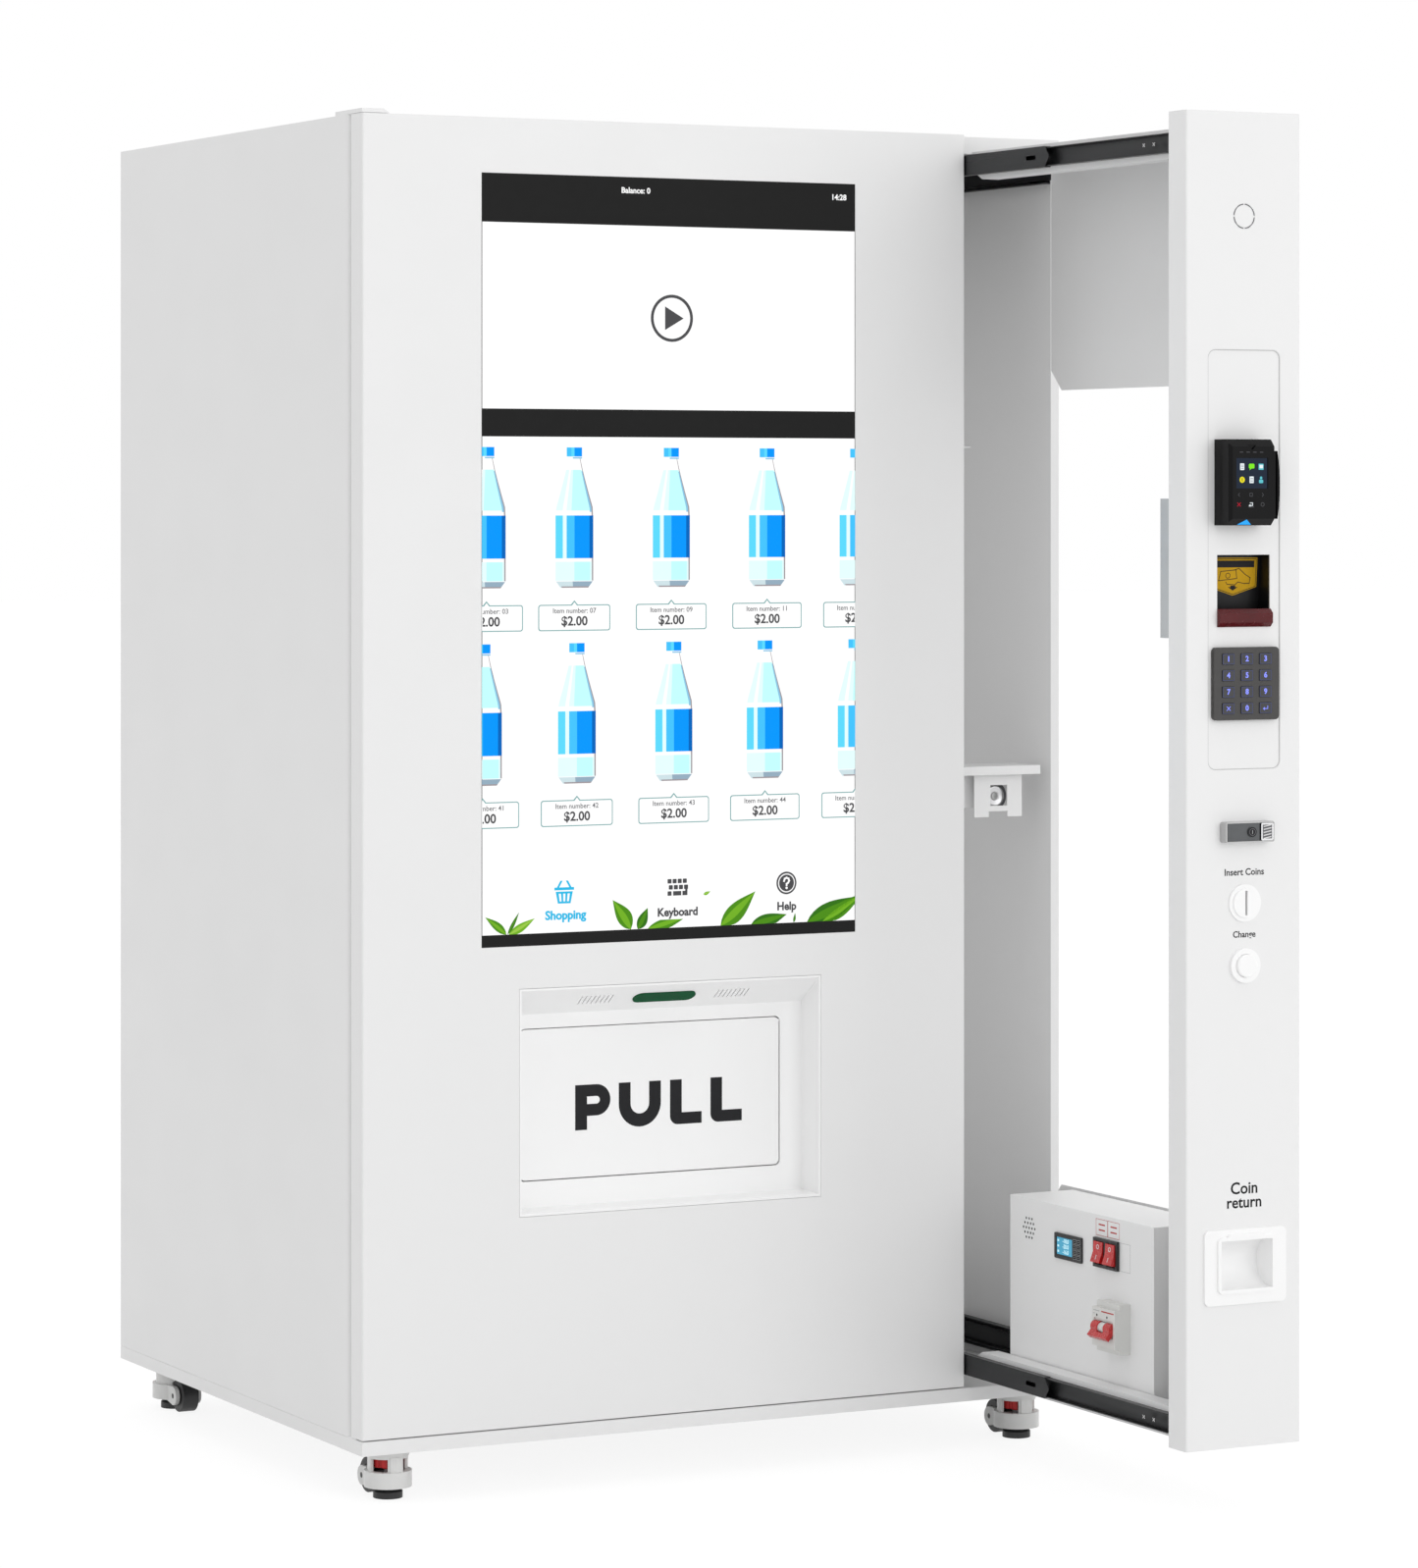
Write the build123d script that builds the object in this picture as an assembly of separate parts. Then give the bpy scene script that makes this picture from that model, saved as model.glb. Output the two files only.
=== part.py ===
from build123d import *
from math import cos, radians, sin
import os

os.makedirs("parts", exist_ok=True)

# An ice cream vending machine: a freezer cabinet on levelling casters, a full-height hinged door
# with a large screen and a delivery hatch, and beside it a narrow payment column that is drawn
# out to the front on four telescopic slides. Lengths are in millimetres and +Z is up. The front
# faces -Y. Pieces are drawn from the cabinet's left side, the door's front and the floor, and
# are moved as they are written, so that the origin is under the middle of the whole machine.

# Whole machine
machine_width = 1163
machine_depth = 940
machine_height = 1950
caster_height = 71.6
sheet = 1.5
overrun = 2
running_gap = 0.4
swivel_gap = 0.3
pin_gap = 0.05

# Base tray
base_height = 20
base_sheet = 2
base_chamfer = 1.2
base_gusset = 130

# Column and its bay at the right of the cabinet
column_width = 191
bay_reach = 2
right_wall_width = 14
bay_header = 25

# Door
door_depth = 45
door_gap = 2
door_top_gap = 0.5
door_front_radius = 3
door_hinge_radius = 8
door_flange = 12

# Freezer liner and its mouth in the cabinet's front
mouth_margin = 48
mouth_bottom = 347
mouth_top_margin = 48
liner_wall = 2
liner_depth = 833.5
liner_flange = 16
louvre_count = 9
louvre_length = 300
louvre_height = 7
louvre_bottom = 130
louvre_pitch = 20

# Product rack and lift
rack_gap = 2
post_width = 20
post_depth = 30
rack_front = 300
rack_back = 860
rack_top_gap = 22
tray_count = 5
tray_bottom = 700
tray_lip = 25
divider_count = 9
divider_height = 12
guide_width = 12
guide_front = 182
guide_depth = 110
guide_groove_width = 30
guide_groove_depth = 6
lift_rest = 680
lift_height = 60
lift_wall = 2

# Refrigeration unit
dome_radius = 90
dome_height = 190
dome_x = 250
dome_y = 600
dome_foot = 220
dome_foot_height = 12
condenser_bay_gap = 90
condenser_width = 360
condenser_y = 110
condenser_depth = 60
condenser_height = 210
fan_radius = 85
fan_wall = 3
fan_depth = 45
fan_hub_radius = 28
fan_blade_count = 5
fan_blade_width = 30
fan_blade_thickness = 3
pipe_radius = 5

# Door inner panel and gasket
inner_panel_thickness = 2
inner_panel_inset = 16
panel_play = 0.5
gasket_width = 14
gasket_inset = 18
gasket_bottom = 332
gasket_thickness = 3.2

# Door hinges and their cover
hinge_pin_radius = 3.5
hinge_pin_length = 12.5
hinge_boss_radius = 7
hinge_boss_length = 18
hinge_plate_thickness = 3
hinge_leaf_thickness = 1.5
hinge_plate_width = 31
hinge_plate_inset = 1.5
hinge_plate_back = 47.5
hinge_leaf_front = 12
hinge_leaf_back = 9
cover_width = 42
cover_depth = 95
cover_height = 6
cover_wall = 1
cover_slant = 9

# Screen
screen_shift = 1
screen_width = 602
screen_bottom = 775.5
screen_height = 1095
screen_glass = 4
screen_play = 0.5
screen_rim = 14
screen_back_plate = 2
screen_case_inset = 12
screen_case_depth = 32

# Delivery hatch
hatch_width = 486
hatch_bottom = 391
hatch_height = 323
hatch_side_wall = 3
hatch_floor_wall = 4
hatch_recess_depth = 54
hatch_back_wall = 8
hatch_slope_drop = 39
hatch_slope_wall = 3
bin_width = 430
bin_bottom = 396
bin_height = 259
bin_depth = 108
bin_wall = 2.5
flap_width = 419
flap_shift = 6.5
flap_bottom = 434
flap_height = 216
flap_thickness = 4
flap_corner = 8
flap_gap = 1.5
flap_pin_radius = 2
flap_pin_gap = 0.08
flap_pin_drop = 5
flap_pin_seat = 4
light_length = 100
light_width = 24
light_proud = 1.5
slit_count = 8
slit_width = 1.6
slit_length = 22
slit_pitch = 7
slit_offset = 110

# Payment column
column_travel = 602
fascia_gap = 3
fascia_depth = 45
fascia_top_gap = 3
fascia_left_flange = 24
fascia_right_flange = 36
pay_shift = 1
pay_width = 119
pay_bottom = 1034
pay_height = 583
pay_corner = 12
pay_plate_thickness = 2
pay_plate_margin = 8
emblem_z = 1802
emblem_radius = 16.8
emblem_groove = 1.2
emblem_depth = 0.5

# Telescopic slides
slide_low_z = 126
slide_high_z = 1904
outer_rail_length = 600
outer_rail_inset = 2
outer_rail_half = 20
outer_rail_width = 13
middle_rail_length = 580
middle_rail_drawn = 293
middle_rail_wall = 1.2
middle_rail_offset = 3.2
middle_rail_half = 15.2
middle_rail_width = 10.3
cage_thickness = 3
cage_length = 250
cage_width = 5
rail_hole_length = 28
rail_hole_width = 6.5
rail_hole_inset = 50
inner_rail_length = 580
inner_rail_inset = 5
inner_rail_outer_width = 16
inner_rail_half = 13.6
inner_rail_width = 10.5

# Column trays
tray_wall_height = 41.5
tray_top_flange = 28
tray_tab = 11.5
tray_length = 560
tray_end_chamfer = 30
tray_right_extra = 14
lower_plate_top = 385
upper_plate_bottom = 1572

# Card reader
reader_width = 84
reader_shift = 6
reader_bottom = 1373
reader_height = 119
reader_depth = 39.5
reader_bevel = 9
reader_top_bevel = 10
reader_notch_width = 30
reader_notch_rise = 5
reader_swipe_width = 11
reader_swipe_bow = 4
reader_swipe_top = 16
reader_swipe_bottom = 9
reader_swipe_back = 3
reader_swipe_groove = 3
reader_swipe_depth = 22
reader_screen_width = 52
reader_screen_height = 43
reader_screen_depth = 1
reader_screen_drop = 25.5

# Banknote acceptor
bill_width = 87
bill_bottom = 1232
bill_height = 100
bill_pocket_depth = 30
bill_body_margin = 5
bill_body_below = 18
bill_body_above = 78
bill_body_depth = 136.5
bill_hole_radius = 6
bill_hole_drop = 16
bill_lip_height = 25
bill_lip_proud = 8
bill_lip_length = 20
bill_lip_chamfer = 6

# Keypad
keypad_width = 107
keypad_bottom = 1103
keypad_height = 101
keypad_proud = 8
keypad_corner = 6
key_width = 19.7
key_height = 14.9
key_pitch_x = 30.5
key_pitch_z = 22.8
key_columns = 3
key_rows = 4
key_proud = 1.2
key_length = 7.4
key_corner = 1.5

# Lock
lock_width = 80
lock_bottom = 933.5
lock_height = 29
lock_depth = 16
lock_side_wall = 2
lock_pocket_depth = 13
lock_corner = 4
lever_width = 54
lever_thickness = 8
lever_recess = 2
lever_pin_radius = 1.5
lever_pin_inset = 5
lever_pin_length = 1.5
cylinder_radius = 7
cylinder_proud = 2
cylinder_inset = 13
push_width = 20
push_proud = 0.5
lock_stem_radius = 9
lock_case_width = 50
lock_case_depth = 25
lock_case_below = 9
lock_case_height = 60
bolt_radius = 5
bolt_z = 963
bolt_back = 102
bolt_offset = 4

# Coin entry, change button and coin channel
coin_z = 849
coin_flange_radius = 26
coin_disc_radius = 20.5
coin_flange_proud = 3
coin_disc_proud = 6
coin_slot_height = 34
coin_slot_width = 3.5
coin_hole_radius = 18
change_z = 762
change_ring_radius = 24
change_ring_proud = 5
change_cap_radius = 16
change_cap_proud = 10
change_cap_back = 4
chute_width = 42
chute_bottom = 400
chute_top = 885
chute_depth = 80.5
chute_wall = 2

# Coin return
return_width = 134
return_bottom = 293
return_height = 104
return_flange = 4
return_corner = 8
return_mouth_width = 84
return_mouth_bottom = 314
return_mouth_height = 68
return_rim = 5
return_rim_proud = 4
return_tab_width = 61
return_tab_rise = 4
return_cup_wall = 2.5

# Control box on the lower tray
control_width = 108
control_front = 103
control_length = 396
control_height = 275.5
vent_hole_radius = 2
vent_pitch = 8
vent_rings = 2
vent_from_back = 54
vent_drop = 43
thermostat_from_back = 130
thermostat_length = 75
thermostat_drop = 39
thermostat_height = 37
thermostat_proud = 3
thermostat_corner = 2
thermostat_window_depth = 1
thermostat_window_length = 44
thermostat_window_height = 26
switch_from_back = 240
switch_length = 32
switch_height = 42
switch_drop = 32
switch_proud = 5
switch_wall_y = 3.6
switch_wall_z = 4
rocker_out = 7
rocker_middle_out = 5
rocker_back = 4
rocker_end_gap = 2
rocker_side_gap = 0.4
rocker_pin_radius = 1.2
rocker_pin_length = 1.6
rocker_throw = 24
breaker_from_back = 273
breaker_length = 61
breaker_drop = 117
breaker_height = 71
breaker_proud = 26.5
breaker_step = 8
breaker_pivot_in = 2
breaker_pivot_radius = 8.5
breaker_drum_radius = 7.5
breaker_toggle_width = 17
breaker_bar_width = 8
breaker_lever_length = 50
breaker_lever_reach = 18
breaker_mouth_extra = 4
breaker_lever_thickness = 7
breaker_lever_droop = 50

# Latch bracket in the bay
shelf_z = 996
shelf_lip = 13
shelf_width = 162
shelf_depth = 80
shelf_inset = 2
plate_drop = 63.5
plate_left = 46.5
plate_right = 36
plate_inset = 11
plate_leg = 25
notch_width = 29
notch_bottom = 949
notch_top = 980
notch_lip = 8
striker_radius = 15.5
striker_hole_radius = 5.3
striker_thickness = 3
latch_case_inset = 26
latch_case_depth = 60
latch_case_left = 70
latch_case_width = 104
latch_case_wall = 2
latch_case_drop = 50
stub_z = 1486
stub_height = 10
stub_length = 41

# Levelling casters
caster_front_inset = 61
caster_back_inset = 60
caster_side_inset = 66
caster_plate_side = 73
caster_plate_thickness = 5
spigot_radius = 12
spigot_length = 5
housing_disc_radius = 30
housing_disc_thickness = 6.3
neck_radius = 29
neck_bore = 24.5
neck_bottom = 39
band_radius = 34
band_bottom = 16
window_from = 24
window_to = 80
window_top_gap = 3
tab_half_angle = 17
tab_bottom = 31
tab_proud = 2
web_bottom = 28
web_thickness = 6
cheek_inside = 14.5
cheek_thickness = 6.5
cheek_radius = 14
wheel_radius = 25
wheel_width = 26
wheel_offset = 45.5
wheel_groove = 1.5
wheel_hub_radius = 15
axle_radius = 4
wheel_clearance = 1.5
foot_radius = 21
foot_thickness = 13
foot_bevel = 4
stem_radius = 6
collar_radius = 10
collar_height = 8
thumb_radius = 21.5
thumb_bottom = 44
thumb_thickness = 12
thumb_scallop_radius = 3
thumb_scallops = 10
stem_top = 57

# Places that follow from the sizes above
base_top = caster_height + base_height
cabinet_front = door_depth + door_gap
door_width = machine_width - column_width
bay_x1 = machine_width - right_wall_width
bay_x0 = door_width - bay_reach
condenser_x = bay_x0 - condenser_bay_gap - condenser_width
bay_ceiling = machine_height - bay_header
door_z0 = base_top + door_gap
door_z1 = machine_height - door_top_gap
hinge_x = door_hinge_radius
hinge_y = door_depth - door_hinge_radius
mouth_x0 = mouth_margin
mouth_x1 = bay_x0 - mouth_margin
mouth_z1 = machine_height - mouth_top_margin
liner_y0 = cabinet_front + sheet
fascia_x0 = door_width + fascia_gap
fascia_x1 = machine_width
fascia_y0 = -column_travel
fascia_y1 = fascia_y0 + fascia_depth
fascia_z0 = door_z0
fascia_z1 = machine_height - fascia_top_gap
fascia_inside = fascia_y0 + sheet
pay_x = (fascia_x0 + fascia_x1) / 2 + pay_shift
screen_x = (door_width - screen_width) / 2 - screen_shift
hatch_x = (door_width - hatch_width) / 2
flap_x = (door_width - flap_width) / 2 - flap_shift
bin_x = flap_x + (flap_width - bin_width) / 2
pay_floor = fascia_inside
pay_back = pay_floor + pay_plate_thickness
inner_face_x = bay_x0 + inner_rail_outer_width
bay_middle = (bay_x0 + bay_x1) / 2
reader_front = pay_floor - reader_depth
machine_front = reader_front
origin_shift = (-machine_width / 2, -(machine_front + machine_depth) / 2, 0)


# Shapes that the pieces are drawn from
def block(x0, x1, y0, y1, z0, z1):
    """A box between two opposite corners."""
    return Pos((x0 + x1) / 2, (y0 + y1) / 2, (z0 + z1) / 2) * Box(x1 - x0, y1 - y0, z1 - z0)


def rod_x(radius, x0, x1, y, z):
    """A round bar along X."""
    return Pos((x0 + x1) / 2, y, z) * Rot(0, 90, 0) * Cylinder(radius, x1 - x0)


def rod_y(radius, x, y0, y1, z):
    """A round bar along Y."""
    return Pos(x, (y0 + y1) / 2, z) * Rot(90, 0, 0) * Cylinder(radius, y1 - y0)


def rod_z(radius, x, y, z0, z1):
    """A round bar along Z."""
    return Pos(x, y, (z0 + z1) / 2) * Cylinder(radius, z1 - z0)


def front_plate(x0, x1, y0, y1, z0, z1, radius):
    """A plate with round corners in the front view, from y0 back to y1."""
    plane = Plane(origin=((x0 + x1) / 2, y1, (z0 + z1) / 2), x_dir=(1, 0, 0), z_dir=(0, -1, 0))
    return extrude(plane * RectangleRounded(x1 - x0, z1 - z0, radius), amount=y1 - y0)


def front_profile(points, y0, y1):
    """An outline of (x, z) points, carried from y1 forward to y0."""
    plane = Plane(origin=(0, y1, 0), x_dir=(1, 0, 0), z_dir=(0, -1, 0))
    return extrude(plane * make_face(Polyline(*points, close=True)), amount=y1 - y0)


def side_profile(points, x0, x1):
    """An outline of (y, z) points, carried from x0 to x1."""
    plane = Plane(origin=(x0, 0, 0), x_dir=(0, 1, 0), z_dir=(1, 0, 0))
    return extrude(plane * make_face(Polyline(*points, close=True)), amount=x1 - x0)


def plan_profile(points, z0, z1):
    """An outline of (x, y) points, carried from z0 up to z1."""
    return extrude(Plane.XY.offset(z0) * make_face(Polyline(*points, close=True)), amount=z1 - z0)


def round_upright(solid, x, y, radius):
    """Rounds the upright edge that stands at (x, y)."""
    upright = solid.edges().filter_by(Axis.Z)
    edge = sorted(upright, key=lambda e: (e.center().X - x) ** 2 + (e.center().Y - y) ** 2)[0]
    return fillet(edge, radius)


def save(node, *pieces):
    """Writes one node, moved to the machine's own origin."""
    solids = [solid for piece in pieces for solid in piece.solids()]
    moved = [Pos(*origin_shift) * solid for solid in solids]
    shape = moved[0] if len(moved) == 1 else Compound(children=moved)
    shape.label = node
    export_step(shape, f"parts/{node}.step")


# Cabinet
def cabinet_shell():
    """Sheet skins of the freezer cabinet and of the bay for the payment column."""
    outer = block(0, machine_width, cabinet_front, machine_depth, base_top, machine_height)
    outer = round_upright(outer, 0, cabinet_front, door_hinge_radius)
    back_inside = machine_depth - sheet
    roof_inside = machine_height - sheet
    below = base_top - overrun
    freezer_space = block(sheet, bay_x0 - sheet, cabinet_front + sheet, back_inside, below, roof_inside)
    freezer_space = round_upright(freezer_space, sheet, cabinet_front + sheet, door_hinge_radius - sheet)
    bay = block(bay_x0, bay_x1, cabinet_front - overrun, back_inside, below, bay_ceiling)
    above_bay = block(
        bay_x0, machine_width - sheet, cabinet_front + sheet, back_inside, bay_ceiling + sheet, roof_inside
    )
    wall_space = block(
        bay_x1 + sheet, machine_width - sheet, cabinet_front + sheet, back_inside, below, roof_inside
    )
    mouth = block(
        mouth_x0, mouth_x1, cabinet_front - overrun, cabinet_front + sheet + overrun, mouth_bottom, mouth_z1
    )
    shell = outer - freezer_space - bay - above_bay - wall_space - mouth
    for side in (bay_x0 / 3, 2 * bay_x0 / 3):
        for i in range(louvre_count):
            z = louvre_bottom + i * louvre_pitch
            shell -= block(
                side - louvre_length / 2, side + louvre_length / 2,
                cabinet_front - overrun, cabinet_front + sheet + overrun, z, z + louvre_height
            )
    return shell


def freezer_liner():
    """Inner tub of the freezer, with a flange behind the cabinet's front."""
    x0, x1 = mouth_x0 - liner_wall, mouth_x1 + liner_wall
    z0, z1 = mouth_bottom - liner_wall, mouth_z1 + liner_wall
    y1 = liner_y0 + liner_depth
    tub = block(x0, x1, liner_y0, y1, z0, z1)
    tub += block(
        x0 - liner_flange, x1 + liner_flange, liner_y0, liner_y0 + liner_wall,
        z0 - liner_flange, z1 + liner_flange
    )
    space = block(mouth_x0, mouth_x1, liner_y0 - overrun, y1 - liner_wall, mouth_bottom, mouth_z1)
    return tub - space


def base_frame():
    """Folded base tray with a gusset, and a caster plate with its spigot, at each corner."""
    tray = block(0, machine_width, 0, machine_depth, caster_height, base_top)
    tray = chamfer(tray.edges().group_by(Axis.Z)[-1], base_chamfer)
    tray -= block(
        base_sheet, machine_width - base_sheet, base_sheet, machine_depth - base_sheet,
        caster_height - overrun, base_top - base_sheet
    )
    reach_x, reach_y = machine_width - base_gusset, machine_depth - base_gusset
    for x in (0, reach_x):
        for y in (0, reach_y):
            tray += block(x, x + base_gusset, y, y + base_gusset, caster_height, caster_height + base_sheet)
    plates = []
    half = caster_plate_side / 2
    plate_z0 = caster_height - caster_plate_thickness
    for _, x, y, _ in caster_places():
        plate = block(x - half, x + half, y - half, y + half, plate_z0, caster_height)
        plate += rod_z(spigot_radius, x, y, plate_z0 - spigot_length, plate_z0)
        plates.append(plate)
    return [tray] + plates


def product_rack():
    """Shelf rack of the freezer: posts, divided shelves and the two guides of the lift."""
    x0, x1 = mouth_x0 + rack_gap, mouth_x1 - rack_gap
    top = mouth_z1 - rack_top_gap
    pieces = []
    for x in (x0, x1 - post_width):
        for y in (rack_front, rack_back - post_depth):
            pieces.append(block(x, x + post_width, y, y + post_depth, mouth_bottom, top))
    tray_pitch = (top - tray_bottom) / tray_count
    for i in range(tray_count):
        z = tray_bottom + i * tray_pitch
        tray = block(x0 + post_width, x1 - post_width, rack_front, rack_back, z, z + sheet)
        tray += block(x0 + post_width, x1 - post_width, rack_front, rack_front + sheet, z, z + tray_lip)
        spacing = (x1 - x0 - 2 * post_width) / (divider_count + 1)
        for j in range(divider_count):
            x = x0 + post_width + (j + 1) * spacing
            tray += block(x, x + sheet, rack_front, rack_back, z, z + divider_height)
        pieces.append(tray)
    for wall, side in ((mouth_x0, 1), (mouth_x1, -1)):
        face = wall + side * guide_width
        groove = face - side * guide_groove_depth
        middle = guide_front + guide_depth / 2
        guide = block(
            min(wall, face), max(wall, face), guide_front, guide_front + guide_depth, mouth_bottom, top
        )
        guide -= block(
            min(groove, face + side * overrun), max(groove, face + side * overrun),
            middle - guide_groove_width / 2, middle + guide_groove_width / 2,
            mouth_bottom - overrun, top + overrun
        )
        pieces.append(guide)
    return pieces


def lift_platform():
    """Open tray that carries a product down to the hatch."""
    x0 = mouth_x0 + guide_width + running_gap
    x1 = mouth_x1 - guide_width - running_gap
    y0, y1 = guide_front, guide_front + guide_depth
    z0, z1 = lift_rest, lift_rest + lift_height
    tray = block(x0, x1, y0, y1, z0, z1)
    tray -= block(
        x0 + lift_wall, x1 - lift_wall, y0 + lift_wall, y1 - lift_wall, z0 + lift_wall, z1 + overrun
    )
    return tray


def compressor_unit():
    """Compressor dome, condenser and fan on the floor of the machine room."""
    foot = block(
        dome_x - dome_foot / 2, dome_x + dome_foot / 2, dome_y - dome_foot / 2, dome_y + dome_foot / 2,
        base_top, base_top + dome_foot_height
    )
    straight = dome_height - dome_radius / 2
    dome = rod_z(dome_radius, dome_x, dome_y, base_top, base_top + dome_height)
    top_edge = dome.edges().filter_by(GeomType.CIRCLE).sort_by(Axis.Z)[-1]
    dome = foot + fillet(top_edge, dome_height - straight)
    condenser_x1 = condenser_x + condenser_width
    condenser_y1 = condenser_y + condenser_depth
    condenser_z1 = base_top + condenser_height
    condenser = block(condenser_x, condenser_x1, condenser_y, condenser_y1, base_top, condenser_z1)
    fan_x, fan_z = condenser_x + condenser_width / 2, base_top + condenser_height / 2
    fan_y1 = condenser_y1 + fan_depth
    fan = rod_y(fan_radius + fan_wall, fan_x, condenser_y1, fan_y1, fan_z)
    fan -= rod_y(fan_radius, fan_x, condenser_y1 - overrun, fan_y1 + overrun, fan_z)
    fan += rod_y(fan_hub_radius, fan_x, condenser_y1, fan_y1, fan_z)
    reach = fan_radius + fan_wall / 2
    for i in range(fan_blade_count):
        blade = Pos(0, 0, reach / 2) * Rot(0, 0, 45) * Box(fan_blade_width, fan_blade_thickness, reach)
        blade = Rot(0, i * 360 / fan_blade_count, 0) * blade
        fan += Pos(fan_x, (condenser_y1 + fan_y1) / 2, fan_z) * blade
    pipe_z = base_top + dome_height / 2
    pipe_y = condenser_y + condenser_depth / 2
    pipe = rod_y(pipe_radius, dome_x, pipe_y - pipe_radius, dome_y - dome_radius / 2, pipe_z)
    pipe += rod_x(pipe_radius, dome_x, condenser_x + pipe_radius, pipe_y, pipe_z)
    return dome + pipe + condenser + fan


# Door
def door_shell():
    """Folded pan of the door, open at the back inside its flanges, with the two hinge bosses."""
    outer = block(0, door_width, 0, door_depth, door_z0, door_z1)
    outer = round_upright(outer, 0, door_depth, door_hinge_radius)
    outer = round_upright(outer, 0, 0, door_front_radius)
    outer = round_upright(outer, door_width, 0, door_front_radius)
    inside = block(sheet, door_width - sheet, sheet, door_depth - sheet, door_z0 + sheet, door_z1 - sheet)
    back = block(
        door_flange, door_width - door_flange, door_depth - sheet - overrun, door_depth + overrun,
        door_z0 + door_flange, door_z1 - door_flange
    )
    shell = outer - inside - back
    for z0 in (door_z0, door_z1 - hinge_boss_length):
        shell += rod_z(hinge_boss_radius, hinge_x, hinge_y, z0, z0 + hinge_boss_length)
    bore = hinge_pin_radius + pin_gap
    depth = hinge_pin_length + 2 * door_gap
    shell -= rod_z(bore, hinge_x, hinge_y, door_z0 - overrun, door_z0 + depth)
    shell -= rod_z(bore, hinge_x, hinge_y, door_z1 - depth, door_z1 + overrun)
    shell -= block(
        screen_x - screen_play, screen_x + screen_width + screen_play, -overrun, sheet + overrun,
        screen_bottom - screen_play, screen_bottom + screen_height + screen_play
    )
    shell -= block(
        hatch_x - panel_play, hatch_x + hatch_width + panel_play, -overrun, sheet + overrun,
        hatch_bottom - panel_play, hatch_bottom + hatch_height + panel_play
    )
    return shell


def door_inner_panel():
    """Back panel of the door, inside its flanges, with a window for the hatch."""
    y1 = door_depth - sheet
    panel = block(
        inner_panel_inset, door_width - sheet - panel_play, y1 - inner_panel_thickness, y1,
        door_z0 + sheet + panel_play, door_z1 - sheet - panel_play
    )
    return panel - block(
        hatch_x - panel_play, hatch_x + hatch_width + panel_play, y1 - inner_panel_thickness - overrun,
        y1 + overrun, hatch_bottom - panel_play, hatch_bottom + hatch_height + panel_play
    )


def door_gasket():
    """Seal round the freezer's mouth, on the door's inner panel."""
    y0 = door_depth - sheet
    x0, x1 = gasket_inset, bay_x0 - gasket_inset
    z1 = machine_height - gasket_inset - door_gap
    ring = front_plate(x0, x1, y0, y0 + gasket_thickness, gasket_bottom, z1, gasket_width)
    return ring - block(
        x0 + gasket_width, x1 - gasket_width, y0 - overrun, y0 + gasket_thickness + overrun,
        gasket_bottom + gasket_width, z1 - gasket_width
    )


def door_hinges():
    """Upper hinge plate and lower hinge leaf with their pins, and the cover over the upper one."""
    z1 = machine_height
    upper = block(
        hinge_plate_inset, hinge_plate_inset + hinge_plate_width, hinge_y - hinge_boss_radius,
        hinge_y - hinge_boss_radius + hinge_plate_back, z1, z1 + hinge_plate_thickness
    )
    upper += rod_z(hinge_pin_radius, hinge_x, hinge_y, z1 - hinge_pin_length, z1)
    lower = block(
        hinge_plate_inset, hinge_plate_inset + hinge_plate_width, hinge_y - hinge_leaf_front,
        hinge_y + hinge_leaf_back, base_top, base_top + hinge_leaf_thickness
    )
    pin_foot = base_top + hinge_leaf_thickness
    lower += rod_z(hinge_pin_radius, hinge_x, hinge_y, pin_foot, base_top + door_gap + hinge_pin_length)
    z2 = z1 + cover_height
    outline = [(0, z1), (cover_width, z1), (cover_width - cover_slant, z2), (0, z2)]
    cover = front_profile(outline, 0, cover_depth)
    cover -= block(
        cover_wall, cover_width - cover_slant - cover_wall, cover_wall, cover_depth - cover_wall,
        z1 - overrun, z1 + cover_height - cover_wall
    )
    return [upper, lower, cover]


def display_screen():
    """Glass of the screen, flush with the door, and its case behind the door's skin."""
    x1 = screen_x + screen_width
    z1 = screen_bottom + screen_height
    glass = block(screen_x, x1, 0, screen_glass, screen_bottom, z1)
    back = screen_glass + screen_back_plate
    case = block(
        screen_x - screen_rim, x1 + screen_rim, sheet, back, screen_bottom - screen_rim, z1 + screen_rim
    )
    case -= block(screen_x, x1, sheet - overrun, screen_glass, screen_bottom, z1)
    case += block(
        screen_x + screen_case_inset, x1 - screen_case_inset, back, back + screen_case_depth,
        screen_bottom + screen_case_inset, z1 - screen_case_inset
    )
    return [glass, case]


def slope_plane(x):
    """Plane on the slanted roof of the hatch recess, facing out of it, with its middle at x."""
    run = hatch_recess_depth
    origin = (x, run / 2, hatch_bottom + hatch_height - hatch_slope_wall - hatch_slope_drop / 2)
    return Plane(origin=origin, x_dir=(1, 0, 0), z_dir=(0, -hatch_slope_drop, -run))


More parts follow.
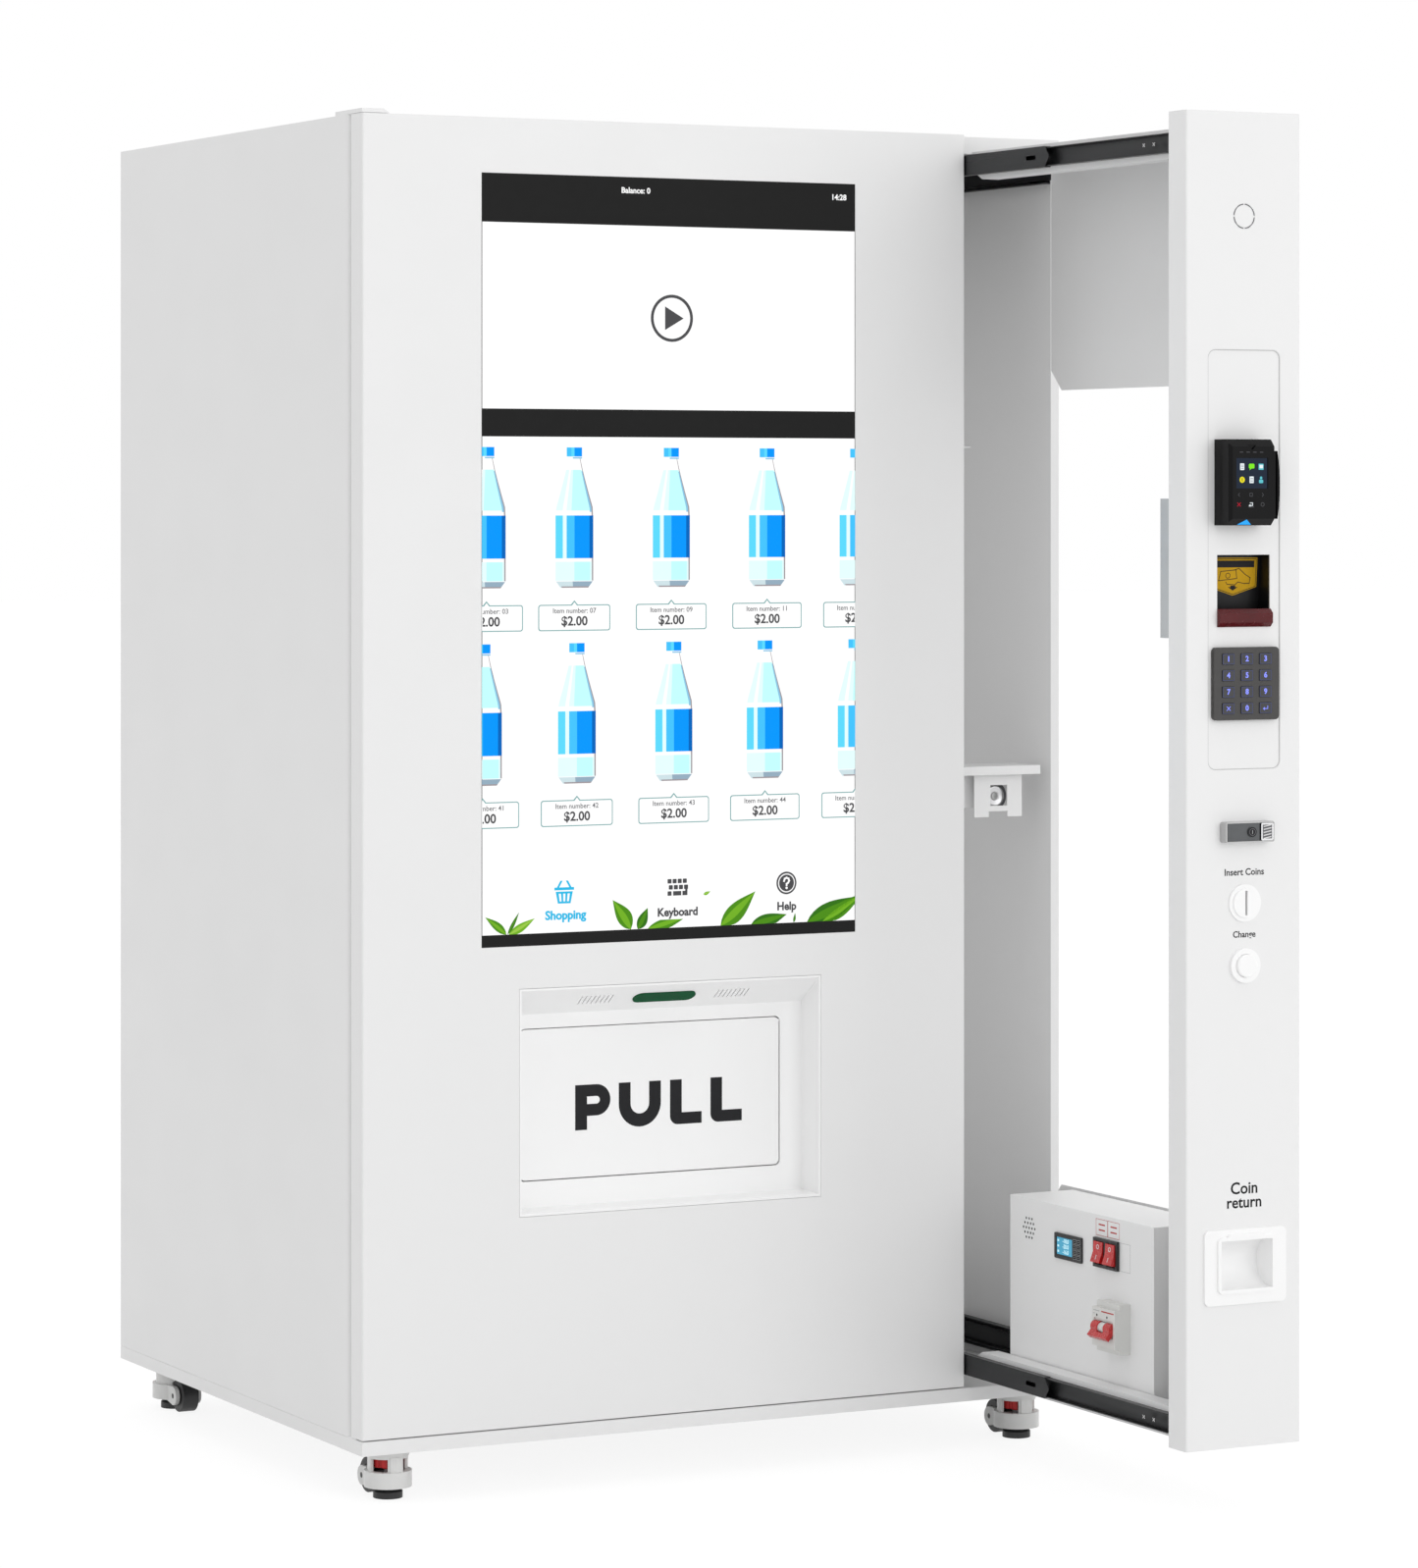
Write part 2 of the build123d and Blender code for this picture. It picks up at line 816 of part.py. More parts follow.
def hatch_surround():
    """Moulded recess with a slanted roof, speaker slits and the flap's window, and the bin behind."""
    x0, x1 = hatch_x, hatch_x + hatch_width
    z0, z1 = hatch_bottom, hatch_bottom + hatch_height
    wall_y = hatch_recess_depth
    back = hatch_recess_depth + hatch_back_wall
    roof_back = z1 - hatch_slope_drop
    outline = [(0, z0), (back, z0), (back, roof_back), (wall_y, roof_back), (0, z1)]
    moulding = side_profile(outline, x0, x1)
    floor = z0 + hatch_floor_wall
    space = [
        (-overrun, floor), (wall_y, floor), (wall_y, roof_back - hatch_slope_wall),
        (0, z1 - hatch_slope_wall), (-overrun, z1 - hatch_slope_wall),
    ]
    moulding -= side_profile(space, x0 + hatch_side_wall, x1 - hatch_side_wall)
    bin_top = bin_bottom + bin_height
    catch = block(bin_x, bin_x + bin_width, back, back + bin_depth, bin_bottom, bin_top)
    catch -= block(
        bin_x + bin_wall, bin_x + bin_width - bin_wall, back - overrun, back + bin_depth - bin_wall,
        bin_bottom + bin_wall, bin_top + overrun
    )
    moulding += catch
    moulding -= front_plate(
        flap_x - flap_gap, flap_x + flap_width + flap_gap, wall_y - overrun, back + overrun,
        flap_bottom - flap_gap, flap_bottom + flap_height + flap_gap, flap_corner
    )
    seat = flap_pin_seat + flap_gap + running_gap
    moulding -= rod_x(
        flap_pin_radius + flap_pin_gap, flap_x - seat, flap_x + flap_width + seat,
        flap_axis_y(), flap_axis_z()
    )
    middle = x0 + hatch_width / 2
    for group in (middle - slit_offset, middle + slit_offset):
        for i in range(slit_count):
            x = group + (i - (slit_count - 1) / 2) * slit_pitch
            slit = extrude(slope_plane(x) * Rectangle(slit_width, slit_length), amount=overrun)
            slit += extrude(slope_plane(x) * Rectangle(slit_width, slit_length), amount=-2 * hatch_slope_wall)
            moulding -= slit
    return moulding


def flap_axis_y():
    """Depth of the flap's hinge, in the middle of the wall it hangs in."""
    return hatch_recess_depth + hatch_back_wall / 2


def flap_axis_z():
    """Height of the flap's hinge."""
    return flap_bottom + flap_height - flap_pin_drop


def hatch_flap():
    """Flap of the hatch with a pin at each side near its top."""
    y0 = flap_axis_y() - flap_thickness / 2
    flap = front_plate(
        flap_x, flap_x + flap_width, y0, y0 + flap_thickness,
        flap_bottom, flap_bottom + flap_height, flap_corner
    )
    reach = flap_gap + flap_pin_seat
    bar = rod_x(flap_pin_radius, flap_x - reach, flap_x + flap_width + reach, flap_axis_y(), flap_axis_z())
    return flap + bar


def hatch_light():
    """Long round-ended light on the slanted roof of the recess."""
    plane = slope_plane(hatch_x + hatch_width / 2)
    return extrude(plane * SlotOverall(light_length, light_width), amount=light_proud)


# Telescopic slides of the payment column
def mirror_in_bay(solid):
    """The same piece on the other wall of the bay."""
    return mirror(solid, about=Plane(origin=(bay_middle, 0, 0), z_dir=(1, 0, 0)))


def channel(x0, x1, y0, y1, z, half, wall, open_right):
    """A rail of channel section along Y, open to the right or to the left."""
    rail = block(x0, x1, y0, y1, z - half, z + half)
    if open_right:
        hollow_x0, hollow_x1 = x0 + wall, x1 + overrun
    else:
        hollow_x0, hollow_x1 = x0 - overrun, x1 - wall
    return rail - block(
        hollow_x0, hollow_x1, y0 - overrun, y1 + overrun, z - half + wall, z + half - wall
    )


def four_slides(make_rail):
    """One rail at each height on both walls of the bay."""
    rails = []
    for z in (slide_low_z, slide_high_z):
        left = make_rail(z)
        rails += [left, mirror_in_bay(left)]
    return rails


def outer_rail(z):
    """Rail fixed to the wall of the bay."""
    y0 = cabinet_front + outer_rail_inset
    return channel(
        bay_x0, bay_x0 + outer_rail_width, y0, y0 + outer_rail_length, z, outer_rail_half, sheet, True
    )


def middle_rail(z):
    """Rail that follows at half the column's travel, with its round front end and ball cages."""
    y1 = cabinet_front + outer_rail_inset + middle_rail_drawn
    y0 = y1 - middle_rail_length
    x0 = bay_x0 + middle_rail_offset
    x1 = x0 + middle_rail_width
    rail = channel(x0, x1, y0, y1, z, middle_rail_half, middle_rail_wall, True)
    hole = Pos(x0, y0 + rail_hole_inset, z) * Rot(0, 90, 0) * Rot(0, 0, 90)
    rail -= hole * extrude(SlotOverall(rail_hole_length, rail_hole_width), amount=overrun, both=True)
    corner = middle_rail_half - middle_rail_wall
    for side in (-1, 1):
        z_edge = z + side * middle_rail_half
        rail -= side_profile(
            [
                (y0 - overrun, z_edge + side * overrun), (y0 + corner, z_edge + side * overrun),
                (y0 - overrun, z),
            ],
            x0 - overrun, x1 + overrun
        )
        cage_z = z_edge + side * cage_thickness
        rail += block(
            x0 + middle_rail_wall, x0 + middle_rail_wall + cage_width, y1 - cage_length, y1,
            min(z_edge, cage_z), max(z_edge, cage_z)
        )
    return rail


def inner_rail(z):
    """Rail fixed to the column's tray."""
    y1 = fascia_y1 + inner_rail_inset + inner_rail_length
    x1 = inner_face_x
    return channel(
        x1 - inner_rail_width, x1, y1 - inner_rail_length, y1, z, inner_rail_half, middle_rail_wall, False
    )


# Payment column
def tray_section(z_web, z_flange, z_plate):
    """One folded tray: web, left wall with its flange, and right plate, with tabs on the fascia."""
    up = 1 if z_plate > z_web or z_flange > z_web else -1
    x0, x1 = inner_face_x, bay_x1 - inner_rail_outer_width
    y0, y1 = fascia_y1, fascia_y1 + tray_length
    web = block(x0, x1, y0, y1, min(z_web, z_web + up * sheet), max(z_web, z_web + up * sheet))
    wall = [(y0, z_web), (y1, z_web), (y1, z_flange - up * tray_end_chamfer / 2)]
    wall += [(y1 - tray_end_chamfer, z_flange), (y0, z_flange)]
    left = side_profile(wall, x0, x0 + sheet)
    left += block(
        x0, x0 + tray_top_flange, y0, y1 - tray_end_chamfer,
        min(z_flange, z_flange - up * sheet), max(z_flange, z_flange - up * sheet)
    )
    rear = y1 + tray_right_extra
    plate = [(y0, z_web), (rear, z_web), (rear, z_plate - up * tray_end_chamfer)]
    plate += [(rear - tray_end_chamfer, z_plate), (y0, z_plate)]
    right = side_profile(plate, x1 - sheet, x1)
    left += block(x0, x0 + tray_tab, y0, y0 + sheet, min(z_web, z_flange), max(z_web, z_flange))
    right += block(x1 - sheet, x1 + tray_tab, y0, y0 + sheet, min(z_web, z_plate), max(z_web, z_plate))
    return web + left + right


def column_trays():
    """Lower and upper tray that join the column's front to its slides."""
    low_web = slide_low_z - outer_rail_half
    high_web = slide_high_z + outer_rail_half
    lower = tray_section(low_web, low_web + tray_wall_height, lower_plate_top)
    upper = tray_section(high_web, high_web - tray_wall_height, upper_plate_bottom)
    return [lower, upper]


def column_fascia():
    """Folded front of the column with the recess and the openings of its fittings."""
    shell = block(fascia_x0, fascia_x1, fascia_y0, fascia_y1, fascia_z0, fascia_z1)
    shell = round_upright(shell, fascia_x0, fascia_y0, door_front_radius)
    shell = round_upright(shell, fascia_x1, fascia_y0, door_front_radius)
    shell -= block(
        fascia_x0 + sheet, fascia_x1 - sheet, fascia_inside, fascia_y1 - sheet,
        fascia_z0 + sheet, fascia_z1 - sheet
    )
    shell -= block(
        fascia_x0 + fascia_left_flange, fascia_x1 - fascia_right_flange,
        fascia_y1 - sheet - overrun, fascia_y1 + overrun,
        fascia_z0 + fascia_left_flange, fascia_z1 - fascia_left_flange
    )
    front = fascia_y0 - overrun
    x0, x1 = pay_x - pay_width / 2, pay_x + pay_width / 2
    z1 = pay_bottom + pay_height
    shell -= front_plate(x0, x1, front, fascia_inside, pay_bottom, z1, pay_corner)
    margin = pay_plate_margin
    shell += block(x0 - margin, x1 + margin, pay_floor, pay_back, pay_bottom - margin, z1 + margin)
    shell -= block(
        pay_x - bill_width / 2, pay_x + bill_width / 2, front, pay_back + overrun,
        bill_bottom, bill_bottom + bill_height
    )
    inside = fascia_inside + overrun
    lock_z = lock_bottom + lock_height / 2
    shell -= rod_y(lock_stem_radius + running_gap, pay_x, front, inside, lock_z)
    shell -= rod_y(coin_hole_radius, pay_x, front, inside, coin_z)
    shell -= rod_y(change_cap_radius + running_gap, pay_x, front, inside, change_z)
    cup_half = return_mouth_width / 2 + return_cup_wall + running_gap
    cup_bottom = return_mouth_bottom - return_cup_wall - running_gap
    cup_top = return_mouth_bottom + return_mouth_height + return_cup_wall + running_gap
    shell -= block(pay_x - cup_half, pay_x + cup_half, front, inside, cup_bottom, cup_top)
    ring = rod_y(emblem_radius + emblem_groove, pay_x, front, fascia_y0 + emblem_depth, emblem_z)
    ring -= rod_y(emblem_radius - emblem_groove, pay_x, front, fascia_y0 + emblem_depth, emblem_z)
    for angle in (0, 90):
        bar = Box(2 * emblem_radius + 2 * overrun, 4 * overrun, 4 * emblem_groove)
        ring -= Pos(pay_x, fascia_y0, emblem_z) * Rot(0, angle + 45, 0) * bar
    return shell - ring


def card_reader():
    """Bevelled reader housing with its swipe rail, groove and small screen."""
    x0 = pay_x - reader_width / 2 - reader_shift
    x1 = x0 + reader_width
    body_x1 = x1 - reader_swipe_width
    z1 = reader_bottom + reader_height
    front = reader_front
    outline = [
        (pay_floor, reader_bottom), (front + reader_bevel, reader_bottom),
        (front, reader_bottom + reader_bevel), (front, z1 - reader_top_bevel),
        (front + reader_bevel, z1), (pay_floor, z1),
    ]
    body = side_profile(outline, x0, body_x1)
    front_left = body.edges().filter_by(Axis.Z).group_by(Axis.X)[0].sort_by(Axis.Y)[0]
    body = chamfer(front_left, reader_bevel / 2)
    screen_top = z1 - reader_screen_drop
    middle = (x0 + body_x1) / 2
    body -= front_plate(
        middle - reader_screen_width / 2, middle + reader_screen_width / 2, front - overrun,
        front + reader_screen_depth, screen_top - reader_screen_height, screen_top, reader_screen_depth
    )
    notch = [
        (middle - reader_notch_width / 2, z1), (middle, z1 - reader_top_bevel - reader_notch_rise),
        (middle + reader_notch_width / 2, z1),
    ]
    body -= front_profile(notch, front - overrun, front + reader_notch_rise / 2)
    swipe_z0, swipe_z1 = reader_bottom + reader_swipe_bottom, z1 - reader_swipe_top
    low, high = (x1 - reader_swipe_bow, swipe_z0), (x1 - reader_swipe_bow, swipe_z1)
    bow = Polyline(low, (body_x1, swipe_z0), (body_x1, swipe_z1), high)
    bow += ThreePointArc(high, (x1, (swipe_z0 + swipe_z1) / 2), low)
    plane = Plane(origin=(0, pay_floor, 0), x_dir=(1, 0, 0), z_dir=(0, -1, 0))
    swipe = extrude(plane * make_face(bow), amount=reader_depth - reader_swipe_back)
    groove_x = body_x1 + (reader_swipe_width - reader_swipe_groove) / 2
    swipe -= block(
        groove_x, groove_x + reader_swipe_groove, front - overrun, front + reader_swipe_depth,
        reader_bottom - overrun, z1 + overrun
    )
    return body + swipe


def bill_acceptor():
    """Banknote unit behind the opening in the recess, with its pocket."""
    x0 = pay_x - bill_width / 2
    x1 = x0 + bill_width
    z0, z1 = bill_bottom - bill_body_below, bill_bottom + bill_height + bill_body_above
    unit = block(
        x0 - bill_body_margin, x1 + bill_body_margin, pay_back, pay_back + bill_body_depth, z0, z1
    )
    pocket_back = pay_back + bill_pocket_depth
    pocket = [
        (pay_back - overrun, bill_bottom), (pocket_back, bill_bottom),
        (pocket_back - bill_lip_proud, bill_bottom + bill_height),
        (pay_back - overrun, bill_bottom + bill_height),
    ]
    unit -= side_profile(pocket, x0, x1)
    hole_y = pay_back + bill_body_depth / 2
    left = x0 - bill_body_margin
    return unit - rod_x(bill_hole_radius, left - overrun, left + overrun, hole_y, z1 - bill_hole_drop)


def bill_bezel():
    """Lip that guides a banknote into the opening."""
    z1 = bill_bottom + bill_lip_height
    front = pay_floor - bill_lip_proud
    outline = [
        (pay_floor + bill_lip_length, bill_bottom), (front + bill_lip_chamfer, bill_bottom),
        (front, bill_bottom + bill_lip_chamfer), (front, z1 - bill_lip_chamfer),
        (front + bill_lip_chamfer, z1), (pay_floor + bill_lip_length, z1 - bill_lip_chamfer),
    ]
    return side_profile(outline, pay_x - bill_width / 2, pay_x + bill_width / 2)


def key_places():
    """Name, x and z of each key, row by row from the top."""
    names = ["1", "2", "3", "4", "5", "6", "7", "8", "9", "clear", "0", "enter"]
    middle_z = keypad_bottom + keypad_height / 2
    places = []
    for i, name in enumerate(names):
        column = i % key_columns - (key_columns - 1) / 2
        row = (key_rows - 1) / 2 - i // key_columns
        places.append((name, pay_x + column * key_pitch_x, middle_z + row * key_pitch_z))
    return places


def keypad_frame():
    """Plate of the keypad with a hole for each key."""
    front = pay_floor - keypad_proud
    z1 = keypad_bottom + keypad_height
    frame = front_plate(
        pay_x - keypad_width / 2, pay_x + keypad_width / 2, front, pay_floor, keypad_bottom, z1, keypad_corner
    )
    half_x, half_z = key_width / 2 + running_gap, key_height / 2 + running_gap
    for _, x, z in key_places():
        frame -= front_plate(
            x - half_x, x + half_x, front - overrun, pay_floor + overrun, z - half_z, z + half_z, key_corner
        )
    return frame


def key(x, z):
    """One key of the keypad."""
    front = pay_floor - keypad_proud - key_proud
    return front_plate(
        x - key_width / 2, x + key_width / 2, front, front + key_length,
        z - key_height / 2, z + key_height / 2, key_corner
    )


def lock_body():
    """Lock housing with its pocket, the stem through the fascia, the case behind and the bolt."""
    x0, x1 = pay_x - lock_width / 2, pay_x + lock_width / 2
    z1 = lock_bottom + lock_height
    y0 = fascia_y0 - lock_depth
    housing = front_plate(x0, x1, y0, fascia_y0, lock_bottom, z1, lock_corner)
    housing -= block(
        x0 + lock_side_wall, x1 - lock_side_wall, y0 - overrun, y0 + lock_pocket_depth,
        lock_bottom + lock_side_wall, z1 - lock_side_wall
    )
    lever_y = y0 + lever_recess + lever_thickness / 2
    pin_x = x0 + lock_side_wall + lever_pin_inset
    housing -= rod_z(
        lever_pin_radius + pin_gap, pin_x, lever_y, lock_bottom - overrun, z1 + overrun
    )
    lock_z = lock_bottom + lock_height / 2
    stem = rod_y(lock_stem_radius, pay_x, fascia_y0, fascia_inside, lock_z)
    case = block(
        pay_x - lock_case_width / 2, pay_x + lock_case_width / 2, fascia_inside,
        fascia_inside + lock_case_depth, lock_bottom - lock_case_below,
        lock_bottom - lock_case_below + lock_case_height
    )
    bolt = rod_y(
        bolt_radius, pay_x - bolt_offset, fascia_inside + lock_case_depth, bolt_back - column_travel, bolt_z
    )
    return housing + stem + case + bolt


def lock_lever():
    """Lever that pops out of the lock on an upright pin, with its key cylinder."""
    x0 = pay_x - lock_width / 2 + lock_side_wall + running_gap
    y0 = fascia_y0 - lock_depth + lever_recess
    z0 = lock_bottom + lock_side_wall + running_gap
    z1 = lock_bottom + lock_height - lock_side_wall - running_gap
    lever = block(x0, x0 + lever_width, y0, y0 + lever_thickness, z0, z1)
    pin_x = x0 + lever_pin_inset - running_gap
    nose = lever.edges().filter_by(Axis.Z).sort_by(Axis.X)[:2]
    lever = fillet(nose, lever_thickness / 2 - pin_gap)
    reach = running_gap + lever_pin_length
    lever += rod_z(lever_pin_radius, pin_x, y0 + lever_thickness / 2, z0 - reach, z1 + reach)
    cylinder_x = x0 + lever_width - cylinder_inset
    return lever + rod_y(cylinder_radius, cylinder_x, y0 - cylinder_proud, y0 + cylinder_proud, (z0 + z1) / 2)


def lock_push_button():
    """Bright end of the lock that is pressed to free the lever."""
    x1 = pay_x + lock_width / 2 - lock_side_wall - running_gap
    y0 = fascia_y0 - lock_depth - push_proud
    z0 = lock_bottom + lock_side_wall + running_gap
    z1 = lock_bottom + lock_height - lock_side_wall - running_gap
    button = block(x1 - push_width, x1, y0, y0 + lever_thickness + lever_recess, z0, z1)
    return fillet(button.edges().filter_by(Axis.Y), lever_recess)


def coin_fittings():
    """Coin entry, the ring of the change button, and the coin channel behind the fascia."""
    entry = rod_y(coin_flange_radius, pay_x, fascia_y0 - coin_flange_proud, fascia_y0, coin_z)
    entry += rod_y(coin_disc_radius, pay_x, fascia_y0 - coin_disc_proud, fascia_y0, coin_z)
    entry += rod_y(coin_hole_radius - running_gap, pay_x, fascia_y0, fascia_inside, coin_z)
    entry -= block(
        pay_x - coin_slot_width / 2, pay_x + coin_slot_width / 2, fascia_y0 - coin_disc_proud - overrun,
        fascia_inside + overrun, coin_z - coin_slot_height / 2, coin_z + coin_slot_height / 2
    )
    ring = rod_y(change_ring_radius, pay_x, fascia_y0 - change_ring_proud, fascia_y0, change_z)
    ring -= rod_y(
        change_cap_radius + running_gap, pay_x, fascia_y0 - change_ring_proud - overrun,
        fascia_y0 + overrun, change_z
    )
    half = chute_width / 2
    chute_back = fascia_inside + chute_depth
    chute = block(pay_x - half, pay_x + half, fascia_inside, chute_back, chute_bottom, chute_top)
    chute -= block(
        pay_x - half + chute_wall, pay_x + half - chute_wall, fascia_inside - overrun,
        chute_back - chute_wall, chute_bottom - overrun, chute_top - chute_wall
    )
    return [entry, ring, chute]


def change_button():
    """Round button that asks for the change."""
    front = fascia_y0 - change_cap_proud
    cap = rod_y(change_cap_radius, pay_x, front, fascia_y0 + change_cap_back, change_z)
    rim = cap.edges().filter_by(GeomType.CIRCLE).sort_by(Axis.Y)[0]
    return fillet(rim, change_cap_back / 2)


def coin_return_cup():
    """Flange with its raised rim and tab, and the round scoop that returned coins fall into."""
    x0, x1 = pay_x - return_width / 2, pay_x + return_width / 2
    z1 = return_bottom + return_height
    flange = front_plate(x0, x1, fascia_y0 - return_flange, fascia_y0, return_bottom, z1, return_corner)
    mouth_x0, mouth_x1 = pay_x - return_mouth_width / 2, pay_x + return_mouth_width / 2
    mouth_z1 = return_mouth_bottom + return_mouth_height
    front = fascia_y0 - return_flange - return_rim_proud
    flange += front_plate(
        mouth_x0 - return_rim, mouth_x1 + return_rim, front, fascia_y0,
        return_mouth_bottom - return_rim, mouth_z1 + return_rim, return_corner
    )
    flange += front_plate(
        pay_x - return_tab_width / 2, pay_x + return_tab_width / 2, front, fascia_y0,
        mouth_z1, mouth_z1 + return_rim + return_tab_rise, return_tab_rise
    )
    wall = return_cup_wall
    scoop_radius = return_mouth_height / 2
    middle_z = return_mouth_bottom + scoop_radius
    cup = rod_x(scoop_radius + wall, mouth_x0 - wall, mouth_x1 + wall, fascia_y0, middle_z)
    cup -= block(
        mouth_x0 - wall - overrun, mouth_x1 + wall + overrun, fascia_y0 - scoop_radius - wall - overrun,
        fascia_y0, return_mouth_bottom - wall - overrun, mouth_z1 + wall + overrun
    )
    scoop = rod_x(scoop_radius, mouth_x0, mouth_x1, fascia_y0, middle_z)
    scoop += block(mouth_x0, mouth_x1, front - overrun, fascia_y0, return_mouth_bottom, mouth_z1)
    return flange + cup - scoop


# Control box on the lower tray
def control_place():
    """Left face, back end, floor and top of the control box."""
    left = pay_x - control_width / 2
    back = fascia_y1 + control_front + control_length
    floor = slide_low_z - outer_rail_half + sheet
    return left, back, floor, floor + control_height


def thermostat_place():
    """Front, back, bottom and top of the thermostat on the control box."""
    _, back, _, top = control_place()
    y1 = back - thermostat_from_back
    z1 = top - thermostat_drop
    return y1 - thermostat_length, y1, z1 - thermostat_height, z1


def switch_places():
    """Middle of each rocker switch along Y, and the height of both."""
    _, back, _, top = control_place()
    middles = [back - switch_from_back - (i + 0.5) * switch_length for i in (0, 1)]
    return middles, top - switch_drop - switch_height / 2


def control_box():
    """Sheet box of the controls with vent holes and the switches' holes in its left face."""
    left, back, floor, top = control_place()
    front = back - control_length
    right = left + control_width
    box = block(left, right, front, back, floor, top)
    box -= block(left + sheet, right - sheet, front + sheet, back - sheet, floor - overrun, top - sheet)
    vent_y, vent_z = back - vent_from_back, top - vent_drop
    for row in range(-vent_rings, vent_rings + 1):
        count = 2 * vent_rings + 1 - abs(row)
        for i in range(count):
            y = vent_y + (i - (count - 1) / 2) * vent_pitch
            z = vent_z + row * vent_pitch * cos(radians(30))
            box -= rod_x(vent_hole_radius, left - overrun, left + overrun, y, z)
    middles, switch_z = switch_places()
    half_y, half_z = switch_length / 2 - switch_wall_y, switch_height / 2 - switch_wall_z
    for y in middles:
        box -= block(
            left - overrun, left + overrun, y - half_y, y + half_y, switch_z - half_z, switch_z + half_z
        )
    return box


def panel_instruments():
    """Thermostat with its sunk window, and the two frames that the rocker switches turn in."""
    left, _, _, _ = control_place()
    y0, y1, z0, z1 = thermostat_place()
    thermostat = block(left - thermostat_proud, left, y0, y1, z0, z1)
    thermostat = fillet(thermostat.edges().filter_by(Axis.X), thermostat_corner)
    window_y1 = y1 - (thermostat_height - thermostat_window_height) / 2
    middle_z = (z0 + z1) / 2
    thermostat -= block(
        left - thermostat_proud - overrun, left - thermostat_proud + thermostat_window_depth,
        window_y1 - thermostat_window_length, window_y1,
        middle_z - thermostat_window_height / 2, middle_z + thermostat_window_height / 2
    )
    pieces = [thermostat]
    middles, switch_z = switch_places()
    for y in middles:
        half_y, half_z = switch_length / 2, switch_height / 2
        frame = block(left - switch_proud, left, y - half_y, y + half_y, switch_z - half_z, switch_z + half_z)
        hole_y, hole_z = half_y - switch_wall_y, half_z - switch_wall_z
        frame -= block(
            left - switch_proud - overrun, left + overrun, y - hole_y, y + hole_y,
            switch_z - hole_z, switch_z + hole_z
        )
        reach = hole_y + rocker_pin_length - rocker_side_gap + running_gap
        frame -= rod_y(rocker_pin_radius + pin_gap, left - switch_proud / 2, y - reach, y + reach, switch_z)
        pieces.append(frame)
    return pieces


def rocker(y):
    """Rocker with two sloping faces, tipped to one side about the pins that it turns on."""
    left, _, _, _ = control_place()
    _, switch_z = switch_places()
    half_z = switch_height / 2 - switch_wall_z - rocker_end_gap
    half_y = switch_length / 2 - switch_wall_y - rocker_side_gap
    outline = [
        (rocker_back, -half_z), (-rocker_out, -half_z), (-rocker_middle_out, 0),
        (-rocker_out, half_z), (rocker_back, half_z),
    ]
    piece = front_profile(outline, -half_y, half_y)
    pin_reach = half_y + rocker_pin_length
    piece += rod_y(rocker_pin_radius, 0, -pin_reach, pin_reach, 0)
    tipped = Rot(0, rocker_throw / 2, 0) * piece
    return Pos(left - switch_proud / 2, y, switch_z) * tipped


def breaker_place():
    """Front, back, bottom and top of the breaker on the control box."""
    _, back, _, top = control_place()
    y1 = back - breaker_from_back
    z1 = top - breaker_drop
    return y1 - breaker_length, y1, z1 - breaker_height, z1


def breaker_body():
    """Stepped breaker housing with the round seat that its lever turns in."""
    left, _, _, _ = control_place()
    y0, y1, z0, z1 = breaker_place()
    face = left - breaker_proud
    outline = [
        (left, z0), (face + breaker_step, z0), (face + breaker_step, z0 + breaker_step),
        (face, z0 + breaker_step), (face, z1 - breaker_step), (face + breaker_step, z1 - breaker_step),
        (face + breaker_step, z1), (left, z1),
    ]
    body = front_profile(outline, y0, y1)
    middle_y, middle_z = (y0 + y1) / 2, (z0 + z1) / 2
    half = breaker_lever_length / 2
    pivot_x = face + breaker_pivot_in
    body -= rod_y(
        breaker_pivot_radius + running_gap, pivot_x, middle_y - half - running_gap,
        middle_y + half + running_gap, middle_z
    )
    mouth = breaker_pivot_radius + breaker_mouth_extra
    return body - block(
        face - overrun, pivot_x, middle_y - half - running_gap, middle_y + half + running_gap,
        middle_z - mouth, middle_z + mouth
    )


def breaker_lever():
    """Two toggles of the breaker on one drum, tied by a bar at their tips and turned down."""
    left, _, _, _ = control_place()
    y0, y1, z0, z1 = breaker_place()
    face = left - breaker_proud
    middle_y, middle_z = (y0 + y1) / 2, (z0 + z1) / 2
    half = breaker_lever_length / 2
    pivot_x = face + breaker_pivot_in
    drum = rod_y(breaker_drum_radius, pivot_x, middle_y - half, middle_y + half, middle_z)
    thick = breaker_lever_thickness
    tip = -breaker_lever_reach
    arms = block(tip, tip + breaker_bar_width, middle_y - half, middle_y + half, -thick / 2, thick / 2)
    for y in (middle_y - half, middle_y + half - breaker_toggle_width):
        drum += rod_y(breaker_pivot_radius, pivot_x, y, y + breaker_toggle_width, middle_z)
        arms += block(tip, 0, y, y + breaker_toggle_width, -thick / 2, thick / 2)
    return drum + Pos(pivot_x, 0, middle_z) * Rot(0, -breaker_lever_droop, 0) * arms


